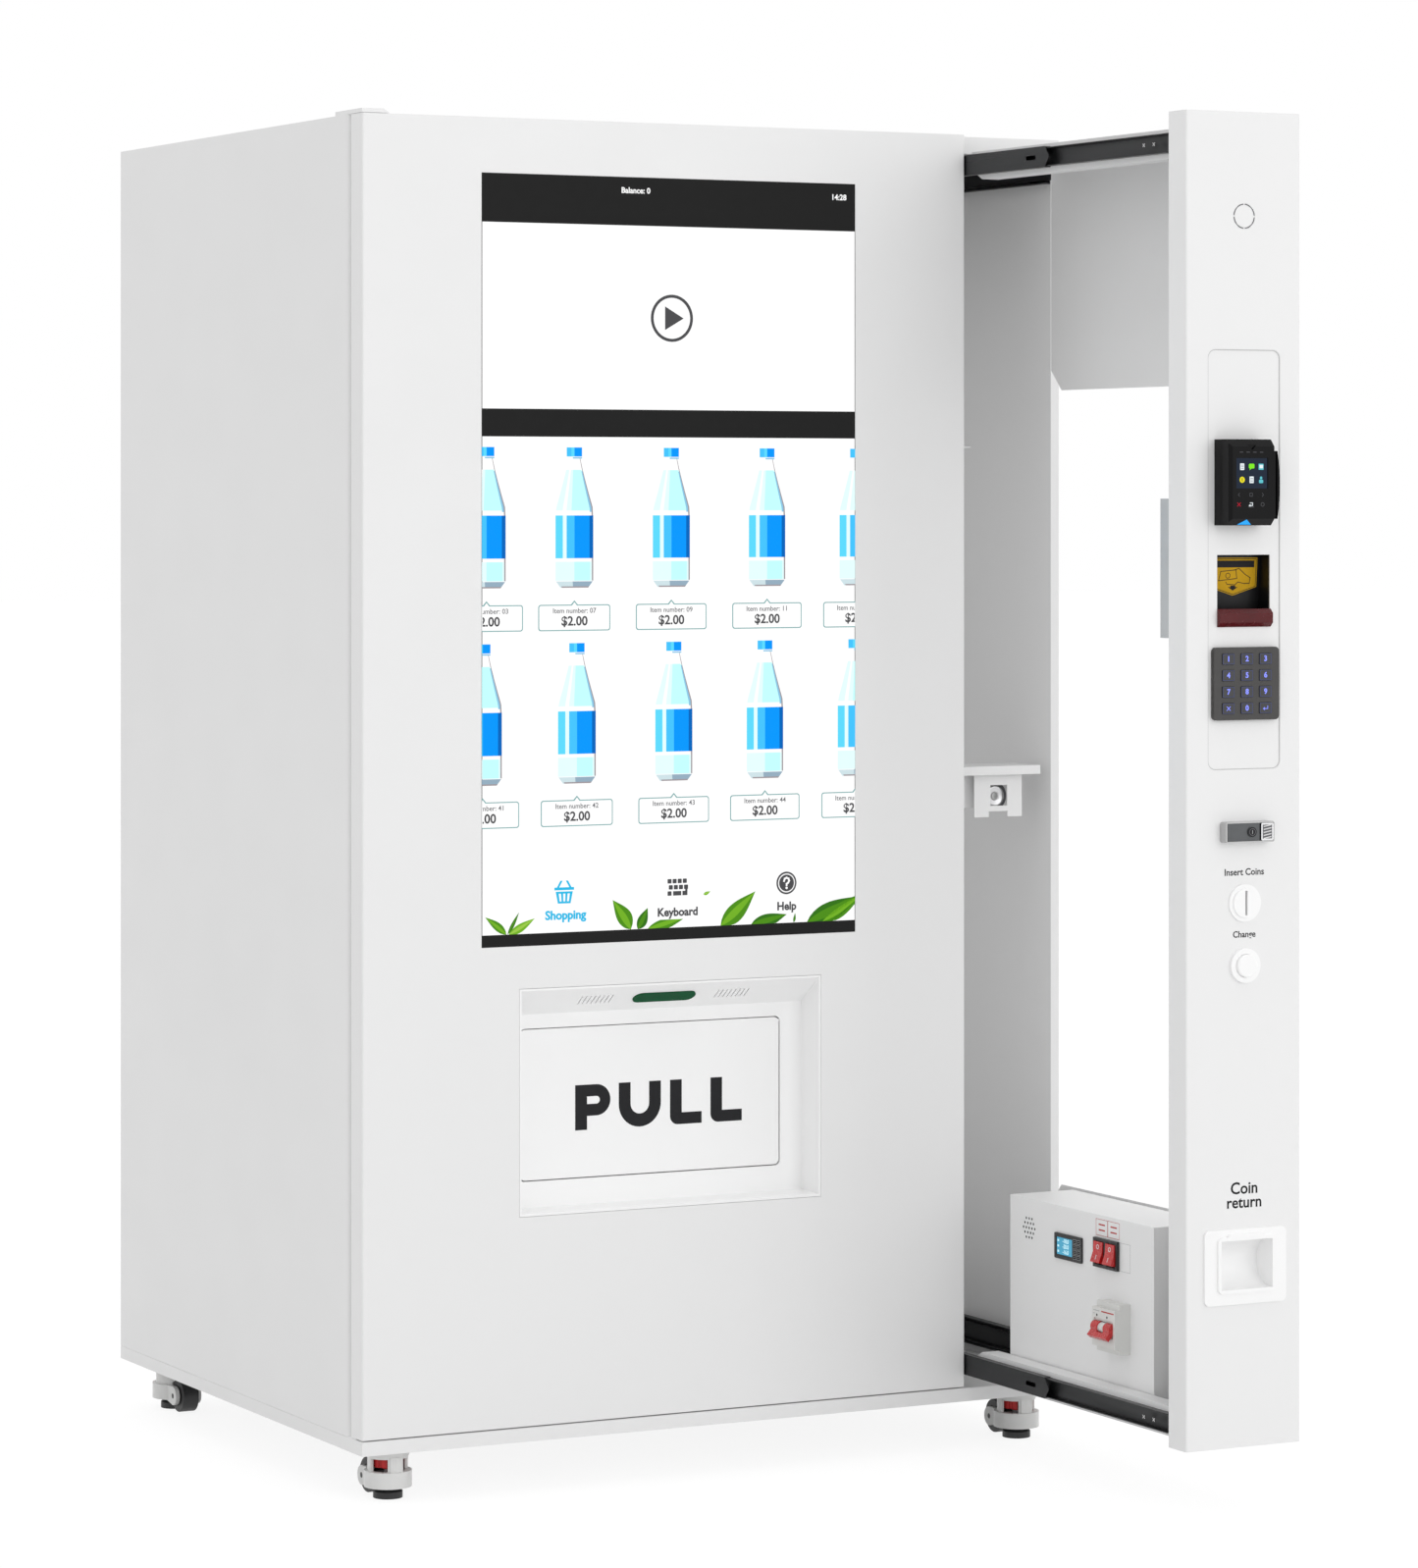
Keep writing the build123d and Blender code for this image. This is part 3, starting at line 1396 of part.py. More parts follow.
# Latch bracket in the bay
def latch_bracket():
    """Shelf with a lip, hanging plate with the bolt's notch, latch case with its striker, and a stub."""
    y0 = cabinet_front + shelf_inset
    z_lip = shelf_z + shelf_lip
    shelf = block(bay_x0, bay_x0 + shelf_width, y0, y0 + shelf_depth, z_lip - sheet, z_lip)
    shelf += block(bay_x0, bay_x0 + shelf_width, y0, y0 + sheet, shelf_z, z_lip)
    shelf += block(bay_x0, bay_x0 + sheet, y0, y0 + shelf_depth, shelf_z, z_lip)
    plate_x0, plate_x1 = pay_x - plate_left, pay_x + plate_right
    plate_y = y0 + plate_inset
    plate_z0 = shelf_z - plate_drop
    plate = block(plate_x0, plate_x1, plate_y, plate_y + sheet, plate_z0, z_lip - sheet)
    bolt_x = pay_x - bolt_offset
    front, rear = plate_y - overrun, plate_y + sheet + overrun
    plate -= block(bolt_x - notch_width / 2, bolt_x + notch_width / 2, front, rear, notch_bottom, notch_top)
    plate -= block(
        plate_x0 + plate_leg, plate_x1 - plate_leg, front, rear, plate_z0 - overrun, notch_bottom - notch_lip
    )
    case_x0 = pay_x - latch_case_left
    case_x1 = case_x0 + latch_case_width
    case_y0 = y0 + latch_case_inset
    case_y1 = case_y0 + latch_case_depth
    case_z0, case_z1 = shelf_z - latch_case_drop, z_lip - sheet
    wall = latch_case_wall
    case = block(case_x0, case_x1, case_y0, case_y1, case_z0, case_z1)
    case -= block(
        case_x0 + wall, case_x1 - wall, case_y0 + wall, case_y1 + overrun, case_z0 + wall, case_z1 - wall
    )
    case += rod_y(striker_radius, bolt_x, case_y0 - striker_thickness, case_y0, bolt_z)
    hole_front = case_y0 - striker_thickness - overrun
    case -= rod_y(striker_hole_radius, bolt_x, hole_front, case_y0 + wall + overrun, bolt_z)
    stub = block(bay_x0, bay_x0 + stub_length, y0, y0 + stub_length, stub_z, stub_z + sheet)
    stub += block(bay_x0, bay_x0 + sheet, y0, y0 + stub_length, stub_z, stub_z + stub_height)
    return [shelf + plate, case, stub]


# Levelling casters, drawn about their swivel axis with the wheel towards +Y
def caster_places():
    """Name, x, y and turn of each caster; the rear ones are turned about."""
    x0, x1 = caster_side_inset, machine_width - caster_side_inset
    y0, y1 = caster_front_inset, machine_depth - caster_back_inset
    return [
        ("front_left", x0, y0, 0), ("front_right", x1, y0, 0),
        ("rear_left", x0, y1, 180), ("rear_right", x1, y1, 180),
    ]


def sector(radius, from_angle, to_angle, z0, z1):
    """A wedge about the swivel axis, with angles measured from -Y towards +X."""
    middle = (from_angle + to_angle) / 2
    angles = (from_angle, middle, to_angle)
    points = [(radius * sin(radians(a)), -radius * cos(radians(a))) for a in angles]
    return plan_profile([(0, 0)] + points, z0, z1)


def caster_housing():
    """Swivelling housing: disc on the spigot, windowed neck, band with its tab, web and cheeks."""
    top = caster_height - caster_plate_thickness - swivel_gap
    disc_z0 = top - housing_disc_thickness
    body = rod_z(housing_disc_radius, 0, 0, disc_z0, top)
    body += rod_z(neck_radius, 0, 0, neck_bottom, disc_z0)
    body += rod_z(band_radius, 0, 0, band_bottom, neck_bottom)
    cheek_x = cheek_inside + cheek_thickness
    for side in (-1, 1):
        x0, x1 = sorted((side * cheek_inside, side * cheek_x))
        cheek = rod_x(cheek_radius, x0, x1, wheel_offset, wheel_radius)
        cheek += side_profile(
            [
                (0, neck_bottom), (wheel_offset, wheel_radius + cheek_radius),
                (wheel_offset, wheel_radius - cheek_radius), (band_radius / 2, band_bottom),
                (0, band_bottom),
            ],
            x0, x1
        )
        body += cheek
    body -= rod_z(neck_bore, 0, 0, band_bottom - overrun, disc_z0)
    web_top = web_bottom + web_thickness
    web = rod_z(neck_bore + sheet, 0, 0, web_bottom, web_top)
    body += web - rod_z(stem_radius + pin_gap, 0, 0, web_bottom - overrun, web_top + overrun)
    tab_radius = neck_radius + tab_proud
    tab = sector(tab_radius, -tab_half_angle, tab_half_angle, tab_bottom, disc_z0)
    body += tab - rod_z(neck_bore, 0, 0, tab_bottom - overrun, disc_z0)
    for side in (-1, 1):
        body -= sector(
            2 * band_radius, side * window_from, side * window_to, neck_bottom, disc_z0 - window_top_gap
        )
    half = wheel_width / 2 + wheel_clearance / 2
    body -= rod_x(wheel_radius + wheel_clearance, -half, half, wheel_offset, wheel_radius)
    body -= block(-half, half, wheel_offset, wheel_offset + 2 * wheel_radius, 0, wheel_radius * 2)
    body -= rod_z(spigot_radius + pin_gap, 0, 0, disc_z0 - overrun, top + overrun)
    reach = cheek_x + overrun
    return body - rod_x(axle_radius + pin_gap, -reach, reach, wheel_offset, wheel_radius)


def caster_wheel():
    """Wheel with sunk hub faces, turning with its axle."""
    half = wheel_width / 2
    wheel = rod_x(wheel_radius, -half, half, wheel_offset, wheel_radius)
    rims = wheel.edges().filter_by(GeomType.CIRCLE)
    wheel = fillet(rims, wheel_groove)
    for side in (-1, 1):
        x0, x1 = sorted((side * (half - wheel_groove), side * (half + overrun)))
        wheel -= rod_x(wheel_hub_radius, x0, x1, wheel_offset, wheel_radius)
    reach = cheek_inside + cheek_thickness
    return wheel + rod_x(axle_radius, -reach, reach, wheel_offset, wheel_radius)


def caster_foot():
    """Levelling foot: pad, stem with its collar, and scalloped thumbwheel."""
    pad = rod_z(foot_radius, 0, 0, 0, foot_thickness)
    pad = chamfer(pad.edges().filter_by(GeomType.CIRCLE).sort_by(Axis.Z)[-1], foot_bevel)
    foot = pad + rod_z(stem_radius, 0, 0, foot_thickness, stem_top)
    foot += rod_z(collar_radius, 0, 0, foot_thickness, foot_thickness + collar_height)
    thumb = rod_z(thumb_radius, 0, 0, thumb_bottom, thumb_bottom + thumb_thickness)
    for i in range(thumb_scallops):
        turn = radians(i * 360 / thumb_scallops)
        thumb -= rod_z(
            thumb_scallop_radius, thumb_radius * cos(turn), thumb_radius * sin(turn),
            thumb_bottom - overrun, thumb_bottom + thumb_thickness + overrun
        )
    return foot + thumb


# Every node
def write_cabinet():
    """Writes the pieces that stay still, and the lift."""
    save("cabinet_shell", cabinet_shell())
    save("freezer_liner", freezer_liner())
    save("base_frame", *base_frame())
    save("slide_outer_rails", *four_slides(outer_rail))
    save("latch_bracket", *latch_bracket())
    save("door_hinges", *door_hinges())
    save("product_rack", *product_rack())
    save("compressor_unit", compressor_unit())
    save("lift_platform", lift_platform())


def write_door():
    """Writes the door and its hatch."""
    save("door_shell", door_shell())
    save("door_inner_panel", door_inner_panel())
    save("door_gasket", door_gasket())
    save("display_screen", *display_screen())
    save("hatch_surround", hatch_surround())
    save("hatch_light", hatch_light())
    save("hatch_flap", hatch_flap())


def write_column():
    """Writes the payment column with its slides, keys and controls."""
    save("slide_middle_rails", *four_slides(middle_rail))
    save("slide_inner_rails", *four_slides(inner_rail))
    save("column_trays", *column_trays())
    save("column_fascia", column_fascia())
    save("card_reader", card_reader())
    save("bill_acceptor", bill_acceptor())
    save("bill_bezel", bill_bezel())
    save("keypad_frame", keypad_frame())
    for name, x, z in key_places():
        save(f"key_{name}", key(x, z))
    save("lock_body", lock_body())
    save("lock_lever", lock_lever())
    save("lock_push_button", lock_push_button())
    save("coin_fittings", *coin_fittings())
    save("change_button", change_button())
    save("coin_return_cup", coin_return_cup())
    save("control_box", control_box())
    save("panel_instruments", *panel_instruments())
    for name, y in zip(("left", "right"), sorted(switch_places()[0], reverse=True)):
        save(f"rocker_{name}", rocker(y))
    save("breaker_body", breaker_body())
    save("breaker_lever", breaker_lever())


def write_casters():
    """Writes the housing, wheel and foot of each caster."""
    for name, x, y, turn in caster_places():
        place = Pos(x, y, 0) * Rot(0, 0, turn)
        save(f"caster_housing_{name}", place * caster_housing())
        save(f"caster_wheel_{name}", place * caster_wheel())
        save(f"caster_foot_{name}", place * caster_foot())


write_cabinet()
write_door()
write_column()
write_casters()
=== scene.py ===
import math

import bmesh
import bpy
from mathutils import Matrix, Vector


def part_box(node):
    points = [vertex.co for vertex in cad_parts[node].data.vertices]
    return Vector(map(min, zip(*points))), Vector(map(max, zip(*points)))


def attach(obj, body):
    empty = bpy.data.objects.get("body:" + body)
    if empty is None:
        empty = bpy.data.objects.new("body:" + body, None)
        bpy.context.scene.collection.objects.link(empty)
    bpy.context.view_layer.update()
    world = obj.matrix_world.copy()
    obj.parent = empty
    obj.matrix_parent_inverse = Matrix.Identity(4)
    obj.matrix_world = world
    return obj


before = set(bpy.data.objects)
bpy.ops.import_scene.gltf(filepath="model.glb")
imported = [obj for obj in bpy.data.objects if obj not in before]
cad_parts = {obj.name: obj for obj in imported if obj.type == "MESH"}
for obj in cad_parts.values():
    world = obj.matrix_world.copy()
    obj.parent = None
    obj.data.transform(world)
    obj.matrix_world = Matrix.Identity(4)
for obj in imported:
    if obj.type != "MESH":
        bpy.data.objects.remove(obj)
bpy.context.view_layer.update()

# Lengths here are in metres unless a name says mm
MM = 0.001
CAMERA_PLACE = (-3.4765, -6.801, 1.410)
CAMERA_TURN_DEG = -27.35
CAMERA_LENS_MM = 119.0
CAMERA_SENSOR_MM = 36.0
CAMERA_SHIFT_Y = -0.182

WHITE = (0.86, 0.86, 0.86)

# Materials: how the noise is spread, how deep the relief is, and the look of a coat and of a lit surface
NOISE_RANGE = (0.3, 0.7)
GLOSS_FINENESS = 6.0
RELIEF_DEPTH = 0.4 * MM
COAT_ROUGHNESS = 0.08
LIT_BASE = 0.04
LIT_SPECULAR = 0.06
LIT_ROUGHNESS = (0.50, 0.58)


def new_material(name):
    """An empty node material and its shader."""
    material = bpy.data.materials.new(name)
    material.use_nodes = True
    shader = material.node_tree.nodes["Principled BSDF"]
    return material, material.node_tree, shader


def feed(tree, value, socket):
    """Sets an input to a number or a colour, or joins it to another node's output."""
    if isinstance(value, bpy.types.NodeSocket):
        tree.links.new(value, socket)
    else:
        socket.default_value = value


def set_inputs(node, values):
    """Sets inputs of a node by their names."""
    for name, value in values.items():
        node.inputs[name].default_value = value


def calculated(tree, operation, a, b, clamp=False):
    """The result of a sum or a comparison of two values."""
    node = tree.nodes.new("ShaderNodeMath")
    node.operation = operation
    node.use_clamp = clamp
    feed(tree, a, node.inputs[0])
    feed(tree, b, node.inputs[1])
    return node.outputs[0]


def join_shaders(tree, factor, first, second, output):
    """Two shaders mixed by a factor, as the surface of an output node."""
    mix = tree.nodes.new("ShaderNodeMixShader")
    tree.links.new(factor, mix.inputs["Fac"])
    tree.links.new(first.outputs[0], mix.inputs[1])
    tree.links.new(second.outputs[0], mix.inputs[2])
    tree.links.new(mix.outputs[0], tree.nodes[output].inputs["Surface"])


def scaled_coordinates(tree, stretch=(1.0, 1.0, 1.0)):
    """Coordinates of the piece itself, stretched along its axes."""
    place = tree.nodes.new("ShaderNodeTexCoord")
    mapping = tree.nodes.new("ShaderNodeMapping")
    set_inputs(mapping, {"Scale": stretch})
    tree.links.new(place.outputs["Object"], mapping.inputs["Vector"])
    return mapping.outputs["Vector"]


def noise(tree, vector, scale, detail=3.0):
    """A noise texture's value."""
    node = tree.nodes.new("ShaderNodeTexNoise")
    set_inputs(node, {"Scale": scale, "Detail": detail})
    tree.links.new(vector, node.inputs["Vector"])
    return node.outputs["Fac"]


def spread(tree, value, low, high):
    """A noise value carried to the range from low to high."""
    node = tree.nodes.new("ShaderNodeMapRange")
    set_inputs(node, {"From Min": NOISE_RANGE[0], "From Max": NOISE_RANGE[1], "To Min": low, "To Max": high})
    tree.links.new(value, node.inputs["Value"])
    return node.outputs["Result"]


def mixed(tree, factor, colour_a, colour_b):
    """Two colours, each a triple or a node's output, mixed by a factor."""
    node = tree.nodes.new("ShaderNodeMix")
    node.data_type = "RGBA"
    tree.links.new(factor, node.inputs["Factor"])
    for value, socket in ((colour_a, node.inputs["A"]), (colour_b, node.inputs["B"])):
        feed(tree, (*value, 1.0) if isinstance(value, tuple) else value, socket)
    return node.outputs["Result"]


def shade(colour, factor):
    """A colour made darker or lighter."""
    return tuple(min(1.0, c * factor) for c in colour)


def surface(name, colour, roughness, metallic=0.0, tint=0.04, blotch=2.5, grain=900.0, relief=0.06,
            stretch=(1.0, 1.0, 1.0), coat=0.0, rough_range=0.06, zones=(), specular=0.5):
    """A finish with slow colour variation, uneven gloss and a fine relief.

    A zone is an axis, a limit and a colour: beyond the limit along the axis the colour is that one."""
    material, tree, shader = new_material(name)
    vector = scaled_coordinates(tree, stretch)
    slow = spread(tree, noise(tree, vector, blotch), 0.0, 1.0)
    base = mixed(tree, slow, shade(colour, 1.0 - tint), colour)
    for axis, limit, other in zones:
        split = tree.nodes.new("ShaderNodeSeparateXYZ")
        tree.links.new(scaled_coordinates(tree), split.inputs["Vector"])
        other_base = mixed(tree, slow, shade(other, 1.0 - tint), other)
        base = mixed(tree, calculated(tree, "GREATER_THAN", split.outputs[axis], limit), base, other_base)
    tree.links.new(base, shader.inputs["Base Color"])
    fine = noise(tree, vector, grain, 2.0)
    uneven = noise(tree, vector, blotch * GLOSS_FINENESS)
    gloss = spread(tree, uneven, roughness - rough_range, roughness + rough_range)
    tree.links.new(gloss, shader.inputs["Roughness"])
    bump = tree.nodes.new("ShaderNodeBump")
    set_inputs(bump, {"Strength": relief, "Distance": RELIEF_DEPTH})
    tree.links.new(fine, bump.inputs["Height"])
    tree.links.new(bump.outputs["Normal"], shader.inputs["Normal"])
    set_inputs(shader, {"Metallic": metallic, "Specular IOR Level": specular})
    if coat:
        set_inputs(shader, {"Coat Weight": coat, "Coat Roughness": COAT_ROUGHNESS})
    return material


def lit(name, colour, strength, mottle=0.05, scale=60.0):
    """A surface that gives its own light, a little uneven, under a gloss."""
    material, tree, shader = new_material(name)
    slow = spread(tree, noise(tree, scaled_coordinates(tree), scale), 0.0, 1.0)
    tint = mixed(tree, slow, shade(colour, 1.0 - mottle), colour)
    tree.links.new(tint, shader.inputs["Emission Color"])
    set_inputs(shader, {"Base Color": (*shade(colour, LIT_BASE), 1.0), "Specular IOR Level": LIT_SPECULAR})
    set_inputs(shader, {"Emission Strength": strength})
    tree.links.new(spread(tree, slow, *LIT_ROUGHNESS), shader.inputs["Roughness"])
    return material


def clear_red(name):
    """Dark red see-through plastic of the banknote lip."""
    material = surface(name, (0.15, 0.006, 0.010), 0.22, tint=0.25, blotch=30.0, relief=0.02, specular=0.2)
    shader = material.node_tree.nodes["Principled BSDF"]
    set_inputs(shader, {"Transmission Weight": 0.35, "IOR": 1.49})
    return material


RED = (0.58, 0.012, 0.014)
FOOT_STEEL = (0.50, 0.50, 0.51)
INSIDE_BLACK = (0.010, 0.010, 0.011)
FINISHES = {
    "white_paint": (WHITE, 0.42, dict(tint=0.012, blotch=1.5, grain=1100.0, relief=0.05)),
    "tray_paint": ((0.82, 0.82, 0.82), 0.45, dict(tint=0.03, blotch=3.0)),
    "liner": ((0.80, 0.82, 0.83), 0.36, dict(tint=0.012, blotch=2.0, relief=0.02, rough_range=0.015)),
    "white_plastic": ((0.96, 0.96, 0.96), 0.40, dict(tint=0.008, blotch=4.0, grain=1100.0, relief=0.015,
                      rough_range=0.015)),
    "rail": ((0.028, 0.029, 0.031), 0.36, dict(metallic=0.55, tint=0.35, blotch=9.0, grain=500.0,
             relief=0.08, stretch=(1.0, 0.06, 1.0), rough_range=0.1)),
    "rail_middle": ((0.018, 0.019, 0.021), 0.33, dict(metallic=0.5, tint=0.35, blotch=9.0, grain=500.0,
                    relief=0.08, stretch=(1.0, 0.06, 1.0), rough_range=0.1)),
    "steel": ((0.62, 0.62, 0.63), 0.30, dict(metallic=1.0, tint=0.12, blotch=20.0, relief=0.1,
              stretch=(0.08, 1.0, 1.0))),
    "bright": ((0.86, 0.86, 0.87), 0.14, dict(metallic=1.0, tint=0.06, blotch=40.0, relief=0.02,
               rough_range=0.04)),
    "wire": ((0.74, 0.75, 0.76), 0.35, dict(blotch=12.0, relief=0.05)),
    "black_gloss": ((0.006, 0.006, 0.0065), 0.16, dict(tint=0.3, blotch=8.0, relief=0.005,
                    rough_range=0.04, specular=0.28)),
    "reader": ((0.004, 0.004, 0.0045), 0.20, dict(tint=0.3, blotch=8.0, relief=0.005, rough_range=0.04,
               specular=0.13)),
    "black_plastic": ((0.014, 0.014, 0.015), 0.38, dict(tint=0.3, blotch=14.0, grain=1800.0,
                      relief=0.12, coat=0.1)),
    "keypad_grey": ((0.055, 0.053, 0.052), 0.42, dict(metallic=0.25, tint=0.12, blotch=20.0,
                    grain=1500.0, relief=0.1)),
    "key": ((0.028, 0.028, 0.031), 0.34, dict(tint=0.2, blotch=60.0, relief=0.05, coat=0.2)),
    "lever_grey": ((0.11, 0.115, 0.12), 0.34, dict(metallic=0.6, tint=0.15, blotch=30.0, relief=0.12)),
    "housing_grey": ((0.50, 0.50, 0.50), 0.34, dict(metallic=0.55, tint=0.08, blotch=25.0,
                     relief=0.08)),
    "red": (RED, 0.26, dict(tint=0.12, blotch=40.0, relief=0.03, coat=0.4)),
    "breaker": ((0.74, 0.74, 0.72), 0.38, dict(tint=0.03, blotch=20.0)),
    "foot": ((0.016, 0.016, 0.017), 0.5, dict(tint=0.2, blotch=40.0, relief=0.2,
             zones=(("Z", 0.0215, FOOT_STEEL), ("Z", 0.040, RED), ("Z", 0.0562, FOOT_STEEL)))),
    "wheel": ((0.018, 0.018, 0.019), 0.48, dict(tint=0.25, blotch=40.0, relief=0.25)),
    "caster_white": ((0.80, 0.80, 0.79), 0.34, dict(tint=0.05, blotch=25.0, relief=0.08)),
    "rubber": ((0.60, 0.60, 0.59), 0.65, dict(tint=0.06, blotch=15.0, relief=0.2)),
    "compressor": ((0.02, 0.02, 0.022), 0.42, dict(tint=0.3, blotch=12.0, relief=0.15)),
    "bill_unit": ((0.52, 0.53, 0.54), 0.36, dict(metallic=0.5, tint=0.10, blotch=12.0, relief=0.08,
                  zones=(("X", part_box("bill_acceptor")[0].x + 0.8 * MM, INSIDE_BLACK),))),
    "cylinder": ((0.02, 0.02, 0.021), 0.30, dict(metallic=0.6, tint=0.2, blotch=60.0, relief=0.1)),
}
materials = {
    name: surface(name, colour, roughness, **more)
    for name, (colour, roughness, more) in FINISHES.items()
}
materials["lens_red"] = clear_red("lens_red")
materials["green"] = lit("green", (0.012, 0.16, 0.06), 0.45, mottle=0.3, scale=90.0)

# Finish of each CAD node; a name that ends in _ stands for all the nodes that start with it
NODE_FINISHES = {
    "white_paint": ("cabinet_shell", "base_frame", "latch_bracket", "door_hinges", "door_shell",
                    "column_fascia", "control_box"),
    "white_plastic": ("hatch_surround", "hatch_flap", "coin_fittings", "coin_return_cup", "change_button"),
    "tray_paint": ("column_trays",), "liner": ("freezer_liner", "door_inner_panel"),
    "wire": ("product_rack", "lift_platform"), "compressor": ("compressor_unit",),
    "rail": ("slide_outer_rails", "slide_inner_rails"), "rail_middle": ("slide_middle_rails",),
    "rubber": ("door_gasket",), "black_gloss": ("display_screen",), "green": ("hatch_light",),
    "reader": ("card_reader",), "bill_unit": ("bill_acceptor",), "lens_red": ("bill_bezel",),
    "keypad_grey": ("keypad_frame",), "key": ("key_",), "housing_grey": ("lock_body",),
    "lever_grey": ("lock_lever",), "bright": ("lock_push_button",), "black_plastic": ("panel_instruments",),
    "breaker": ("breaker_body",), "red": ("rocker_left", "rocker_right", "breaker_lever"),
    "caster_white": ("caster_housing_",), "wheel": ("caster_wheel_",), "foot": ("caster_foot_",),
}


def finish_of(node):
    """Name of the finish of a CAD node."""
    for finish, names in NODE_FINISHES.items():
        if any(node == name or (name.endswith("_") and node.startswith(name)) for name in names):
            return finish
    raise KeyError(node)


def dress_nodes():
    """Gives each CAD node its finish."""
    for name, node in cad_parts.items():
        node.data.materials.clear()
        node.data.materials.append(materials[finish_of(name)])


def add_object(name, data):
    """An object of the scene."""
    thing = bpy.data.objects.new(name, data)
    bpy.context.scene.collection.objects.link(thing)
    return thing


def add_piece(name, mesh, finish, body):
    """A piece made of a built mesh, with its finish and body."""
    data = bpy.data.meshes.new(name)
    mesh.to_mesh(data)
    mesh.free()
    data.materials.append(ink(finish))
    piece = add_object(name, data)
    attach(piece, body)
    return data


# Stage: floor, world, lamps and camera; a lamp has a place, a target, a size and a power
FLOOR_SIDE = 60.0
FLOOR_COLOUR = (0.82, 0.82, 0.82, 1.0)
FLOOR_GLOW = 1.1
FLOOR_GLOW_SHARE = 0.8
WORLD_LEFT = 0.77
WORLD_RIGHT = 0.90
LAMPS = {
    "front_lamp": ((1.6, -7.0, 2.6), (0.0, 0.0, 1.0), (5.0, 4.0), 84.0),
    "top_lamp": ((0.0, 0.0, 5.0), (0.0, 0.0, 0.0), (4.0, 4.0), 40.0),
}
BAY_LAMP_POWER = 0.75
BAY_LAMP_GAP = 0.004
BAY_LAMP_MARGIN = 0.2


def build_floor():
    """A pale floor that keeps the shadow and is white to the camera and in reflections."""
    mesh = bpy.data.meshes.new("floor")
    corners = [(x * FLOOR_SIDE, y * FLOOR_SIDE, 0) for x, y in ((-1, -1), (1, -1), (1, 1), (-1, 1))]
    mesh.from_pydata(corners, [], [(0, 1, 2, 3)])
    floor = add_object("floor", mesh)
    material, tree, shader = new_material("floor")
    set_inputs(shader, {"Base Color": FLOOR_COLOUR, "Roughness": 0.9, "Specular IOR Level": 0.1})
    glow = tree.nodes.new("ShaderNodeEmission")
    set_inputs(glow, {"Strength": FLOOR_GLOW})
    share = calculated(tree, "MULTIPLY", seen_directly(tree), FLOOR_GLOW_SHARE)
    join_shaders(tree, share, shader, glow, "Material Output")
    mesh.materials.append(material)


def seen_directly(tree):
    """1 for rays from the camera and for reflected and refracted ones."""
    path = tree.nodes.new("ShaderNodeLightPath")
    total = path.outputs["Is Camera Ray"]
    for name in ("Is Glossy Ray", "Is Transmission Ray"):
        total = calculated(tree, "ADD", total, path.outputs[name], clamp=True)
    return total


def build_world():
    """White to the camera and in reflections, a soft light for the rest that is weaker on the left."""
    world = bpy.data.worlds.new("studio")
    bpy.context.scene.world = world
    world.use_nodes = True
    tree = world.node_tree
    background = tree.nodes["Background"]
    set_inputs(background, {"Strength": 1.0})
    place = tree.nodes.new("ShaderNodeTexCoord")
    split = tree.nodes.new("ShaderNodeSeparateXYZ")
    tree.links.new(place.outputs["Generated"], split.inputs["Vector"])
    slope = tree.nodes.new("ShaderNodeMapRange")
    set_inputs(slope, {"From Min": -1.0, "To Min": WORLD_LEFT, "To Max": WORLD_RIGHT})
    tree.links.new(split.outputs["X"], slope.inputs["Value"])
    tree.links.new(slope.outputs["Result"], background.inputs["Color"])
    white = tree.nodes.new("ShaderNodeBackground")
    set_inputs(white, {"Color": (1, 1, 1, 1), "Strength": 1.0})
    join_shaders(tree, seen_directly(tree), background, white, "World Output")


def add_lamp(name, place, target, size, power):
    """A large soft lamp that looks at a point."""
    data = bpy.data.lights.new(name, "AREA")
    data.shape = "RECTANGLE"
    data.size, data.size_y = size
    data.energy = power
    lamp = add_object(name, data)
    lamp.location = place
    lamp.rotation_euler = (Vector(target) - Vector(place)).to_track_quat("-Z", "Y").to_euler()
    return lamp


def build_lamps():
    """Soft light from the front and above, and a weak one that brightens the empty bay."""
    for name, values in LAMPS.items():
        add_lamp(name, *values)
    low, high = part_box("cabinet_shell")
    middle = (low + high) / 2
    place = (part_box("door_shell")[1].x + BAY_LAMP_GAP, middle.y, middle.z)
    size = (high.y - low.y - BAY_LAMP_MARGIN, high.z - low.z - BAY_LAMP_MARGIN)
    bay_lamp = add_lamp("bay_lamp", place, (high.x, middle.y, middle.z), size, BAY_LAMP_POWER)
    bay_lamp.visible_camera = False
    bay_lamp.visible_glossy = False


def build_camera():
    """The camera at the photograph's place, with the photograph's framing."""
    data = bpy.data.cameras.new("camera")
    data.lens = CAMERA_LENS_MM
    data.sensor_width = CAMERA_SENSOR_MM
    data.sensor_fit = "AUTO"
    data.shift_y = CAMERA_SHIFT_Y
    data.clip_end = 200.0
    camera = add_object("camera", data)
    camera.location = CAMERA_PLACE
    camera.rotation_euler = (math.radians(90), 0, math.radians(CAMERA_TURN_DEG))
    bpy.context.scene.camera = camera


# Flat drawings on the object's faces
INK = 0.12 * MM
ARC_STEPS = 24
CORNER_STEPS = 6


